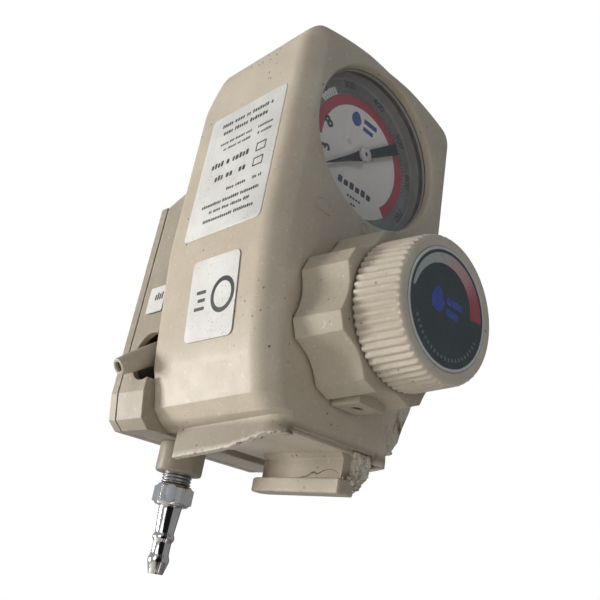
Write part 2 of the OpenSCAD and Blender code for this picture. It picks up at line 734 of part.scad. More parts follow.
module detent_ball() color(steel) at_knob() translate([0, valve_y - 1.4, 11]) sphere(1.5);

// ---------------------------------------------------------------- connections
module hose_fittings() color(brass) in_housing()
    for (p = [supply_spot, outlet_spot]) difference() {
        bar(48.4, 61, 2.45, p);
        bar(48, 62, 1.5, p);
    }

module along_port() in_housing() translate(port_tip) rotate([0, -90 - port_tilt, 0]) children();

module side_port() color(cream) along_port() difference() {
    union() {
        translate([0, 0, -port_len]) cylinder(h = port_len - 4, r1 = 4.2, r2 = 3.4);
        translate([0, 0, -4]) cylinder(h = 4, r1 = 3.4, r2 = 2.9);
        translate([0, 0, -port_len - 8]) cylinder(h = 8.1, r = 2.45);
    }
    translate([0, 0, -port_len - 9]) cylinder(h = port_len + 10, r = 1.7);
}

module hose(points) difference() {
    run(points, 3.9);
    run(points, 2.5);
}

module supply_hose() color("#8f9a94") in_housing()
    hose([[supply_spot.x, box_y - 1, supply_spot.y], [supply_spot.x, port_y, supply_spot.y],
        port_root - 0.1 * port_dir]);

module outlet_hose() color("#8f9a94") in_housing()
    hose([[outlet_spot.x, box_y - 1, outlet_spot.y], [outlet_spot.x, outlet_y, outlet_spot.y],
        [-outlet_x, outlet_y, 16], [-outlet_x, outlet_y, 8.6]]);

module at_outlet(z) in_housing() translate([-outlet_x, outlet_y, z]) children();

module outlet_boss() color(cream) at_outlet(-12) difference() {
    union() {
        cylinder(h = 10 - gap, d = boss_d);
        cylinder(h = 16, r = 4.5);
        cylinder(h = 25, r = 2.45);
    }
    translate([0, 0, -1]) cylinder(h = 7, r = 4.95);
    translate([0, 0, -1]) cylinder(h = 30, r = 1.6);
}

module boss_nut() color(brass) at_outlet(0.3) difference() {
    cylinder(h = 3.2, r = 10.6 / sqrt(3), $fn = 6);
    translate([0, 0, -1]) cylinder(h = 6, r = 4.55);
}

module barb_seal() color("#4a4d4e") at_outlet(-15.8) difference() {
    cylinder(h = 2.6, r = 5.3);
    translate([0, 0, -1]) cylinder(h = 5, r = 4.92);
}

barb_hex_h = 7;

module hose_barb() color(steel) at_outlet(-16) difference() {
    union() {
        cylinder(h = 9.5, r = 4.9);
        translate([0, 0, -barb_hex_h]) cylinder(h = barb_hex_h, r = barb_flats / sqrt(3), $fn = 6);
        rotate_extrude() polygon([[0, -6], [4.1, -6], [4.1, -7.4], [3.2, -16], [3.7, -17], [3.7, -18],
            [3.1, -19], [3.1, -22.6], [3.6, -24.4], [3.6, -25.2], [2.5, -29], [0, -29]]);
    }
    translate([0, 0, -30]) cylinder(h = 50, r = 1.7);
}

// ---------------------------------------------------------------- drawing
front_cover();
rear_housing();
wall_plate();
cover_screws();
plate_screws();
nameplate_label();
approval_label();
port_label();
bottle_hanger();
hanger_screws();
gauge_case();
gauge_bezel();
gauge_lens();
gauge_dial();
dial_screws();
gauge_pointer();
pinion_shaft();
sector_gear();
tip_link();
movement_plates();
hairspring();
bourdon_tube();
gauge_socket();
stem_seal();
valve_body();
bearing_plate();
bearing_screws();
rear_valve_body();
body_screws();
mount_screws();
diaphragm();
diaphragm_plate();
poppet();
poppet_spring();
valve_seat();
valve_cap();
range_spring();
spring_seat();
adjusting_screw();
adjust_knob();
knob_screw();
knob_disc();
selector_knob();
selector_set_screw();
selector_sleeve();
sleeve_ring();
rotor_seal();
detent_ball();
hose_fittings();
supply_hose();
outlet_hose();
side_port();
outlet_boss();
boss_nut();
barb_seal();
hose_barb();
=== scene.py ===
"""The looks of a wall suction unit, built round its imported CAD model.

Sizes are in millimetres in the casing's own coordinates: x to the right, y back from the front
panel, z up from the panel's bottom edge. at() turns them into the frame's metres.
"""

import json
import math
import random

import bmesh
import bpy
from mathutils import Matrix, Vector, noise


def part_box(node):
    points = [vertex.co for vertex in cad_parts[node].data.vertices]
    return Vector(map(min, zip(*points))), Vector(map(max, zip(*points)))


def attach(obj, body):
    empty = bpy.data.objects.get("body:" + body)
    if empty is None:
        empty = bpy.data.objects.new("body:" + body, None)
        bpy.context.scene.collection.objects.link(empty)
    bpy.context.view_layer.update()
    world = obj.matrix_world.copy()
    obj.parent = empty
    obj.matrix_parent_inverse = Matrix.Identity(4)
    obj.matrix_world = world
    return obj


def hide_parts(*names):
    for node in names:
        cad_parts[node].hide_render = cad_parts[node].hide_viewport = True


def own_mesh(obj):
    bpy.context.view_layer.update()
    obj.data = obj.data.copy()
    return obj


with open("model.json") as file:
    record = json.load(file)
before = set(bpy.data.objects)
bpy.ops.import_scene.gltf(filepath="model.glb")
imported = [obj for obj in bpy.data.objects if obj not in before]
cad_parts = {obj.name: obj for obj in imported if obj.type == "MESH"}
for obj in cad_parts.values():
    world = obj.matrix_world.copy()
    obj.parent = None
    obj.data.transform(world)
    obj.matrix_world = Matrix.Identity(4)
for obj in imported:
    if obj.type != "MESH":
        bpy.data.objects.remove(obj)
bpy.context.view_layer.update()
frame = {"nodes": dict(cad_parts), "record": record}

MM = 0.001
KNOB_Z = 38                                   # height of the knob axis above the panel's edge


def middle(node):
    low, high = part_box(node)
    return (low + high) / 2


def span(node, axis):
    low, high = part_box(node)
    return (high[axis] - low[axis]) / MM


knob_at, gauge_at = middle("selector_sleeve"), middle("gauge_bezel")
ORIGIN = Vector((knob_at.x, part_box("front_cover")[0].y, knob_at.z - KNOB_Z * MM))
GAUGE_Z = (gauge_at.z - ORIGIN.z) / MM
CROWN_Z = (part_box("front_cover")[1].z - ORIGIN.z) / MM
HALF_W = span("front_cover", 0) / 2
COVER_DEPTH = span("front_cover", 1)


def at(x, y, z):
    return ORIGIN + Vector((x, y, z)) * MM


def depth_of(node, end=0):
    """Depth of the node's front (0) or back (1) face behind the panel, in millimetres."""
    return (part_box(node)[end].y - ORIGIN.y) / MM


def height_of(node, end=0):
    return (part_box(node)[end].z - ORIGIN.z) / MM


# ------------------------------------------------------------------ mesh helpers
def add(name, verts, faces, material, body="casing", smooth=32, replaces=(), slot=None):
    """A new piece from points in casing millimetres, shaded smooth up to the angle smooth."""
    mesh = bpy.data.meshes.new(name)
    mesh.from_pydata([at(*v) for v in verts], [], faces)
    piece = bpy.data.objects.new(name, mesh)
    bpy.context.scene.collection.objects.link(piece)
    mesh.materials.append(material)
    tidy_mesh(mesh, smooth)
    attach(piece, body)
    if replaces:
        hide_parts(*replaces)
    slot or material["slot"]
    return piece


def tidy_mesh(mesh, smooth):
    bm = bmesh.new()
    bm.from_mesh(mesh)
    bmesh.ops.remove_doubles(bm, verts=bm.verts, dist=1e-6)
    bmesh.ops.recalc_face_normals(bm, faces=bm.faces)
    limit = math.radians(smooth)
    for face in bm.faces:
        face.smooth = True
    for edge in bm.edges:
        edge.smooth = len(edge.link_faces) == 2 and edge.calc_face_angle(0) < limit
    bm.to_mesh(mesh)
    bm.free()


def loft(rings, closed=True, caps=True):
    """Points and faces of a skin through rings of equal length."""
    n = len(rings[0])
    verts = [p for ring in rings for p in ring]
    faces = [(i * n + k, i * n + (k + 1) % n, (i + 1) * n + (k + 1) % n, (i + 1) * n + k)
             for i in range(len(rings) - 1) for k in range(n if closed else n - 1)]
    if caps:
        faces += [tuple(range(n)), tuple((len(rings) - 1) * n + k for k in range(n))]
    return verts, faces


def circle(r, y, cx=0, cz=0, n=96):
    return [(cx + r * math.cos(a), y, cz + r * math.sin(a))
            for a in (2 * math.pi * k / n for k in range(n))]


def lathe(name, profile, material, centre, n=96, **keys):
    """A turned piece about y: profile is a list of (radius, depth)."""
    rings = [circle(r, y, centre[0], centre[1], n) for r, y in profile]
    return add(name, *loft(rings), material, **keys)


HEX_TURN = math.radians(11)                   # how far hexagons are turned about z


def turned_down(name, profile, material, centre, n=64, flats=(), **keys):
    """A turned piece about z: profile is a list of (radius, height); rings in flats are hexagons."""
    rings = []
    for i, (r, z) in enumerate(profile):
        ring = []
        for k in range(n):
            a = 2 * math.pi * k / n
            b = (a + HEX_TURN + math.pi / 6) % (math.pi / 3) - math.pi / 6
            q = r / math.cos(b) if i in flats else r
            ring.append((centre[0] + q * math.cos(a), centre[1] + q * math.sin(a), z))
        rings.append(ring)
    return add(name, *loft(rings), material, **keys)


def prism(outline, y0, y1):
    """Points and faces of an x and z outline made solid from y0 to y1."""
    return loft([[(x, y, z) for x, z in outline] for y in (y0, y1)])


def round_rect(a0, a1, b0, b1, r, steps=6):
    """Outline of a rectangle with round corners."""
    points = []
    for ca, cb, start in ((a1 - r, b1 - r, 0), (a0 + r, b1 - r, 90), (a0 + r, b0 + r, 180),
                          (a1 - r, b0 + r, 270)):
        for k in range(steps + 1):
            a = math.radians(start + 90 * k / steps)
            points.append((ca + r * math.cos(a), cb + r * math.sin(a)))
    return points


def soften(piece, width, segments=3, angle=25):
    """Rounds the piece's edges."""
    bevel = piece.modifiers.new("soft edges", "BEVEL")
    bevel.width = width * MM
    bevel.segments = segments
    bevel.limit_method = "ANGLE"
    bevel.angle_limit = math.radians(angle)
    bevel.harden_normals = True
    return piece


def wear(piece, amount):
    """Writes how fractured each point is, 0 to 1, for the material: amount tests a point in mm."""
    mesh = piece.data
    layer = mesh.attributes.new("fracture", "FLOAT", "POINT")
    layer.data.foreach_set("value", [amount((v.co - ORIGIN) / MM) for v in mesh.vertices])
    return piece


# ------------------------------------------------------------------ material helpers
class Shader:
    """A node material under construction. Its methods return output sockets."""

    def __init__(self, name, slot):
        self.material = bpy.data.materials.new(name)
        self.material["slot"] = slot
        self.material.use_nodes = True
        self.tree = self.material.node_tree
        self.bsdf = self.tree.nodes["Principled BSDF"]
        self.co = self.node("ShaderNodeTexCoord").outputs["Object"]

    def node(self, kind, **inputs):
        made = self.tree.nodes.new(kind)
        for key, value in inputs.items():
            self.put(made.inputs[key.replace("_", " ")], value)
        return made

    def put(self, socket, value):
        if isinstance(value, bpy.types.NodeSocket):
            self.tree.links.new(value, socket)
        else:
            socket.default_value = value

    def set(self, **inputs):
        for key, value in inputs.items():
            self.put(self.bsdf.inputs[key.replace("_", " ")], value)
        return self

    def math(self, op, a, b=0.0, clamp=False):
        made = self.tree.nodes.new("ShaderNodeMath")
        made.operation = op
        made.use_clamp = clamp
        self.put(made.inputs[0], a)
        self.put(made.inputs[1], b)
        return made.outputs[0]

    def stretch(self, x, y, z):
        made = self.node("ShaderNodeMapping", Vector=self.co, Scale=(x, y, z))
        return made.outputs[0]

    def noise(self, scale, detail=3.0, roughness=0.55, vector=None):
        made = self.node("ShaderNodeTexNoise", Vector=vector or self.co, Scale=scale, Detail=detail,
                         Roughness=roughness)
        return made.outputs["Fac"]

    def cells(self, scale, vector=None):
        made = self.node("ShaderNodeTexVoronoi", Vector=vector or self.co, Scale=scale)
        return made.outputs["Distance"]

    def between(self, value, low, high):
        """0 below low, 1 above high, smooth between; low above high turns it round."""
        made = self.tree.nodes.new("ShaderNodeMapRange")
        made.interpolation_type = "SMOOTHSTEP"
        flip = low > high
        self.put(made.inputs["Value"], value)
        self.put(made.inputs["From Min"], high if flip else low)
        self.put(made.inputs["From Max"], low if flip else high)
        self.put(made.inputs["To Min"], 1.0 if flip else 0.0)
        self.put(made.inputs["To Max"], 0.0 if flip else 1.0)
        return made.outputs["Result"]

    def mix(self, fac, a, b, blend="MIX"):
        made = self.tree.nodes.new("ShaderNodeMix")
        made.data_type = "RGBA"
        made.blend_type = blend
        for socket, value in zip((made.inputs[0], made.inputs[6], made.inputs[7]), (fac, a, b)):
            self.put(socket, value if isinstance(value, (float, bpy.types.NodeSocket))
                     else (*value, 1.0))
        return made.outputs[2]

    def lerp(self, fac, a, b):
        made = self.tree.nodes.new("ShaderNodeMix")
        for socket, value in zip((made.inputs[0], made.inputs[2], made.inputs[3]), (fac, a, b)):
            self.put(socket, value)
        return made.outputs[0]

    def bump(self, height, distance, strength=1.0, normal=None):
        made = self.node("ShaderNodeBump", Height=height, Distance=distance, Strength=strength)
        if normal:
            self.put(made.inputs["Normal"], normal)
        return made.outputs[0]

    def bevel(self, radius):
        made = self.node("ShaderNodeBevel", Radius=radius)
        made.samples = 4
        return made.outputs[0]

    def edges(self, radius):
        """1 along the shape's sharp edges, 0 on its faces."""
        face = self.node("ShaderNodeNewGeometry").outputs["Normal"]
        dot = self.tree.nodes.new("ShaderNodeVectorMath")
        dot.operation = "DOT_PRODUCT"
        self.put(dot.inputs[0], face)
        self.put(dot.inputs[1], self.bevel(radius))
        return self.between(dot.outputs["Value"], 0.995, 0.86)

    def hollow(self, distance):
        """1 in creases and corners, 0 in the open."""
        made = self.node("ShaderNodeAmbientOcclusion", Distance=distance)
        made.samples = 6
        return self.between(made.outputs["AO"], 0.75, 0.25)

    def polar(self, centre):
        """Radius in millimetres and angle in degrees about a centre in x and z."""
        parts = self.node("ShaderNodeSeparateXYZ", Vector=self.co)
        x = self.math("SUBTRACT", parts.outputs[0], centre.x)
        z = self.math("SUBTRACT", parts.outputs[2], centre.z)
        square = self.math("ADD", self.math("MULTIPLY", x, x), self.math("MULTIPLY", z, z))
        r = self.math("MULTIPLY", self.math("SQRT", square), 1000.0)
        turn = self.math("MULTIPLY", self.math("ARCTAN2", z, x), 180 / math.pi)
        return r, turn

    def inside(self, value, low, high, soft=0.05):
        """1 where value is between low and high."""
        return self.math("MULTIPLY", self.between(value, low - soft, low + soft),
                         self.between(value, high + soft, high - soft))


def moulded(name, slot, light, dark, grime_and_shade=1.0, edge_r=0.5, stains=(), shade_below=()):
    """Aged satin moulding: mottled colour, dark specks and pits, fine scratches, pale worn edges that also
    carry a painted highlight, and dirt with painted shade in the creases.

    Stains are brown patches: (x, y, z, radius) in casing millimetres. Below the two heights given last the
    whole surface is darker: painted shade, as under the bulge."""
    s = Shader(name, slot)
    blotch = s.noise(45, 5, 0.6)
    colour = s.mix(s.between(blotch, 0.3, 0.72), dark, light)
    grain = s.noise(1300, 3, 0.65)
    colour = s.mix(s.math("MULTIPLY", s.between(grain, 0.56, 0.74), 0.34), colour, (0.30, 0.235, 0.165))
    pale = s.noise(700, 2, 0.5)
    colour = s.mix(s.math("MULTIPLY", s.between(pale, 0.6, 0.8), 0.4), colour, (0.80, 0.73, 0.60))
    # sparse dark specks
    patches = s.between(s.noise(38, 2), 0.5, 0.62)
    specks = s.math("MULTIPLY", s.between(s.cells(330), 0.16, 0.09), patches)
    colour = s.mix(s.math("MULTIPLY", specks, 0.8 * grime_and_shade), colour, (0.055, 0.04, 0.03))
    # long fine scratches
    lines = s.noise(1.0, 2, 0.4, s.stretch(900, 900, 22))
    cross = s.noise(1.0, 2, 0.4, s.stretch(30, 60, 1100))
    scratch = s.math("MAXIMUM", s.between(lines, 0.71, 0.78), s.between(cross, 0.73, 0.8))
    colour = s.mix(s.math("MULTIPLY", scratch, 0.3), colour, (0.74, 0.68, 0.57))
    # dirt and painted shade in the creases and corners, found by ambient occlusion
    crease_dirt_and_shade = s.hollow(0.004)
    colour = s.mix(s.math("MULTIPLY", crease_dirt_and_shade, 0.45 * grime_and_shade), colour, (0.22, 0.165, 0.115))
    # pale worn edges, partly a painted highlight along the sharp edges
    edge = s.math("MULTIPLY", s.edges(edge_r * 1.6 * MM), s.between(s.noise(240, 3), 0.36, 0.6))
    colour = s.mix(s.math("MULTIPLY", edge, 0.55), colour, (0.84, 0.79, 0.69))
    for x, y, z, r in stains:
        away = s.tree.nodes.new("ShaderNodeVectorMath")
        away.operation = "DISTANCE"
        s.put(away.inputs[0], s.co)
        s.put(away.inputs[1], at(x, y, z))
        patch = s.math("MULTIPLY", s.between(away.outputs["Value"], r * MM, r * 0.3 * MM),
                       s.between(s.noise(1.0, 4, 0.65, s.stretch(420, 420, 160)), 0.42, 0.62))
        colour = s.mix(s.math("MULTIPLY", patch, 0.85), colour, (0.085, 0.045, 0.022))
    # painted shade: the surface below the given heights is darkened, as in the shade under the bulge
    if shade_below:
        height = s.node("ShaderNodeSeparateXYZ", Vector=s.co).outputs[2]
        under = s.between(height, at(0, 0, shade_below[1]).z, at(0, 0, shade_below[0]).z)
        colour = s.mix(s.math("MULTIPLY", under, 0.85), colour, (0.50, 0.485, 0.47), "MULTIPLY")
    # broken plastic
    broken = s.node("ShaderNodeAttribute")
    broken.attribute_name = "fracture"
    cracked = s.math("MULTIPLY", broken.outputs["Fac"], s.between(s.noise(900, 4, 0.7), 0.25, 0.5))
    colour = s.mix(s.math("MULTIPLY", cracked, 0.75), colour, (0.80, 0.74, 0.62))
    crumbs = s.math("MULTIPLY", broken.outputs["Fac"], s.between(s.noise(620, 4, 0.7), 0.56, 0.62))
    colour = s.mix(s.math("MULTIPLY", crumbs, 0.75), colour, (0.12, 0.08, 0.05))
    rough_value = s.lerp(s.noise(160, 4), 0.30, 0.5)
    rough_value = s.lerp(scratch, rough_value, 0.3)
    height = s.math("ADD", s.math("MULTIPLY", grain, 0.5), s.math("MULTIPLY", specks, -1.4))
    height = s.math("SUBTRACT", height, s.math("MULTIPLY", scratch, 0.8))
    height = s.math("ADD", height, s.math("MULTIPLY", cracked, s.noise(1600, 3)))
    s.set(Base_Color=colour, Roughness=rough_value,
          Normal=s.bump(height, 0.00012, 0.55, s.bevel(edge_r * MM)))
    s.put(s.bsdf.inputs["Specular IOR Level"], 0.16)
    s.put(s.bsdf.inputs["Subsurface Weight"], 0.06)
    s.put(s.bsdf.inputs["Subsurface Radius"], (0.004, 0.003, 0.002))
    s.put(s.bsdf.inputs["Subsurface Scale"], 0.4)
    return s


def metal(name, slot, colour, tint, low, high, brushed=(60, 60, 60), edge_r=0.15):
    """Worked metal: patchy tarnish, painted shade in hollows, fine tool lines and small dents."""
    s = Shader(name, slot)
    tarnish = s.between(s.noise(130, 5, 0.65), 0.42, 0.7)
    lines = s.noise(9.0, 4, 0.6, s.stretch(*brushed))
    shade = s.mix(s.math("MULTIPLY", tarnish, 0.55), colour, tint)
    # painted shade: a darker tint in hollows and corners, found by ambient occlusion
    shade = s.mix(s.math("MULTIPLY", s.hollow(0.002), 0.6), shade, tuple(c * 0.25 for c in tint))
    spots = s.between(s.cells(800), 0.2, 0.1)
    height = s.math("SUBTRACT", s.math("MULTIPLY", lines, 0.5), s.math("MULTIPLY", spots, 0.4))
    s.set(Base_Color=shade, Metallic=1.0, Roughness=s.lerp(s.math("MAXIMUM", tarnish, lines), low, high),
          Normal=s.bump(height, 0.00003, 0.4, s.bevel(edge_r * MM)))
    return s


def dark_room(s, colour):
    """Painted reflection in the colour: darkens the mirror image of the room in a narrow upright band and where the
    viewer stands, and tints it warm brown on one side.
    """
    mirror = s.node("ShaderNodeSeparateXYZ", Vector=s.node("ShaderNodeTexCoord").outputs["Reflection"])
    x, y = mirror.outputs[0], mirror.outputs[1]
    flat = s.math("SQRT", s.math("ADD", s.math("MULTIPLY", x, x), s.math("MULTIPLY", y, y)))
    across = s.math("DIVIDE", s.math("SUBTRACT", s.math("MULTIPLY", x, 0.755), s.math("MULTIPLY", y, 0.656)), flat)
    stem = s.between(s.node("ShaderNodeSeparateXYZ", Vector=s.co).outputs[2], at(0, 0, -22.7).z, at(0, 0, -23.0).z)
    band = s.math("MULTIPLY", s.inside(across, 0.02, 0.66, 0.05), stem)
    line = s.inside(across, 0.3, 0.42, 0.05)
    # painted reflection: a warm brown tint on one side of the mirror image
    shade = s.mix(s.math("MULTIPLY", s.between(across, -0.3, 0.1), 0.6), colour, (0.44, 0.37, 0.31))
    # painted reflection: a dark upright band on the lower stem, broken by a paler line
    shade = s.mix(s.math("MULTIPLY", band, s.math("SUBTRACT", 1.0, s.math("MULTIPLY", line, 0.6))), shade, (0.05, 0.05, 0.06))
    # painted reflection: near black on the stem where it faces the viewer
    facing = s.tree.nodes.new("ShaderNodeLayerWeight")
    return s.mix(s.math("MULTIPLY", stem, s.between(facing.outputs["Facing"], 0.06, 0.02)), shade, (0.02, 0.02, 0.02))


def chrome(name):
    s = metal(name, name, (0.80, 0.755, 0.71), (0.56, 0.52, 0.48), 0.06, 0.22, (30, 30, 500))
    plain = s.bsdf.inputs["Base Color"].links[0].from_socket
    # the chrome's colour carries painted reflections
    return s.set(Base_Color=dark_room(s, plain))


def rubber(name, slot, colour, dusty):
    s = Shader(name, slot)
    dust = s.between(s.noise(220, 5, 0.7), 0.45, 0.75)
    s.set(Base_Color=s.mix(s.math("MULTIPLY", dust, 0.5), colour, dusty), Roughness=s.lerp(dust, 0.5, 0.8),
          Normal=s.bump(s.noise(1500, 3), 0.00005, 0.5))
    return s


def vinyl(name, slot):
    """Printed sticker film: dirty, with dust specks, pits and rubbed edges."""
    s = Shader(name, slot)
    colour = s.mix(s.between(s.noise(60, 4), 0.35, 0.7), (0.66, 0.645, 0.60), (0.76, 0.75, 0.70))
    specks = s.math("MULTIPLY", s.between(s.cells(900), 0.2, 0.12), s.between(s.noise(90, 3), 0.46, 0.56))
    colour = s.mix(s.math("MULTIPLY", specks, 0.75), colour, (0.16, 0.14, 0.12))
    smear = s.between(s.noise(1.0, 3, 0.5, s.stretch(60, 200, 30)), 0.55, 0.75)
    colour = s.mix(s.math("MULTIPLY", smear, 0.25), colour, (0.52, 0.48, 0.41))
    s.set(Base_Color=colour, Roughness=s.lerp(smear, 0.5, 0.64),
          Normal=s.bump(s.math("ADD", s.noise(260, 4), s.math("MULTIPLY", specks, -0.6)), 0.00008, 0.35))
    return s


def ink(name, slot, colour, rubbed=0.6):
    """Printing ink, a little broken up where it has rubbed."""
    s = Shader(name, slot)
    worn = s.between(s.noise(1900, 4, 0.7), 0.52, 0.72)
    pale = tuple(min(1.0, c * 0.6 + 0.22) for c in colour)
    s.set(Base_Color=s.mix(s.math("MULTIPLY", worn, rubbed), colour, pale), Roughness=s.lerp(worn, 0.35, 0.6),
          Normal=s.bump(worn, 0.00002, 0.4))
    return s


# ------------------------------------------------------------------ materials
def dial_print():
    """Light dial with a grey scale ring, a red band, a pale tick zone and fine tick marks."""
    s = Shader("dial_print", "dial_print")
    r, turn = s.polar(gauge_at)
    face = s.mix(s.between(s.noise(140, 4), 0.35, 0.7), (0.93, 0.84, 0.77), (0.98, 0.89, 0.82))
    ring_grey = s.mix(s.between(s.noise(170, 4), 0.3, 0.7), (0.235, 0.22, 0.21), (0.30, 0.28, 0.265))
    colour = s.mix(s.between(r, BAND[1] - 0.06, BAND[1] + 0.06), face, ring_grey)
    zone = s.math("MULTIPLY", s.inside(turn, 131, 152, 0.3), s.inside(r, BAND[1], BAND[1] + 3.0))
    colour = s.mix(zone, colour, (0.86, 0.85, 0.83))
    after_end = s.between(turn, SCALE_END - 0.4, SCALE_END + 0.4)
    band = s.math("MULTIPLY", s.inside(r, *BAND), s.math("MAXIMUM", after_end, s.math("LESS_THAN", turn, -175.0)))
    colour = s.mix(band, colour, s.mix(s.noise(300, 3), (0.44, 0.035, 0.052), (0.50, 0.06, 0.078)))
    # ticks, one every tenth of a hundred
    step = (SCALE_START - SCALE_END) / 76
    place = s.math("DIVIDE", s.math("SUBTRACT", turn, SCALE_START - 360), step)
    near = s.math("ABSOLUTE", s.math("SUBTRACT", s.math("FRACT", s.math("ADD", place, 0.5)), 0.5))
    tick = s.math("MULTIPLY", s.between(near, 0.16, 0.08), s.inside(r, BAND[1] + 0.3, BAND[1] + 1.5))
    tick = s.math("MULTIPLY", tick, after_end)
    colour = s.mix(s.math("MULTIPLY", tick, 0.8), colour, (0.03, 0.03, 0.03))
    rim = s.inside(r, BAND[1] + 0.02, BAND[1] + 0.16, 0.04)
    colour = s.mix(s.math("MULTIPLY", s.math("MULTIPLY", rim, after_end), 0.8), colour, (0.03, 0.03, 0.03))
    specks = s.math("MULTIPLY", s.between(s.cells(1200), 0.17, 0.1), s.between(s.noise(120, 2), 0.55, 0.6))
    colour = s.mix(s.math("MULTIPLY", specks, 0.5), colour, (0.2, 0.18, 0.16))
    s.set(Base_Color=colour, Roughness=s.lerp(s.noise(200, 3), 0.42, 0.6),
          Normal=s.bump(s.noise(900, 3), 0.00003, 0.3))
    return s


def disc_print():
    """Dark knob disc with a widening crescent that turns from grey to red, and a dotted arc."""
    s = Shader("disc_print", "disc_print")
    r, turn = s.polar(knob_at)
    r = s.math("MULTIPLY", r, 0.96)
    dark = s.mix(s.between(s.noise(150, 4), 0.35, 0.7), (0.010, 0.018, 0.014), (0.020, 0.030, 0.025))
    along = s.math("DIVIDE", s.math("SUBTRACT", 180.0, turn), 180.0)
    upper = s.inside(turn, 4, 176, 2.0)
    width = s.lerp(s.math("POWER", along, 0.65), 0.35, 5.4)
    inner = s.math("SUBTRACT", 15.9, width)
    crescent = s.math("MULTIPLY", s.math("GREATER_THAN", r, inner), s.between(r, 16.0, 15.85))
    crescent = s.math("MULTIPLY", crescent, upper)
    warm = s.mix(s.between(along, 0.3, 0.68), (0.40, 0.40, 0.38), (0.52, 0.28, 0.28))
    warm = s.mix(s.between(along, 0.62, 0.86), warm, (0.36, 0.045, 0.06))
    colour = s.mix(crescent, dark, warm)
    # a dotted arc below
    step = s.math("DIVIDE", turn, 6.5)
    near = s.math("ABSOLUTE", s.math("SUBTRACT", s.math("FRACT", step), 0.5))
    dots = s.math("MULTIPLY", s.between(near, 0.26, 0.18), s.inside(r, 14.0, 15.0, 0.12))
    dots = s.math("MULTIPLY", dots, s.inside(turn, -158, -22, 0.5))
    colour = s.mix(dots, colour, (0.12, 0.16, 0.15))
    edge = s.between(r, 16.75, 16.95)
    colour = s.mix(edge, colour, (0.55, 0.56, 0.53))
    scuff = s.between(s.noise(1.0, 3, 0.5, s.stretch(500, 500, 60)), 0.66, 0.75)
    colour = s.mix(s.math("MULTIPLY", scuff, 0.3), colour, (0.2, 0.22, 0.21))
    s.set(Base_Color=colour, Roughness=s.lerp(s.math("MAXIMUM", scuff, s.noise(300, 3)), 0.16, 0.42),
          Coat_Weight=0.12, Coat_Roughness=0.1, Normal=s.bump(s.noise(700, 3), 0.00003, 0.25))
    return s


def lens_glass():
    s = Shader("clear_lens", "clear_lens")
    haze = s.between(s.noise(1.0, 3, 0.5, s.stretch(200, 200, 40)), 0.6, 0.8)
    s.set(Base_Color=(0.80, 0.83, 0.83, 1.0), Roughness=s.lerp(haze, 0.03, 0.2), IOR=1.46,
          Alpha=s.lerp(haze, 0.05, 0.11), Normal=s.bump(s.noise(150, 3), 0.00002, 0.2))
    return s


STAINS = ((26, 0, 8, 7), (30, 1, 13, 7), (17.5, 0, -1, 3.2), (9, 40, -3.4, 2.5))


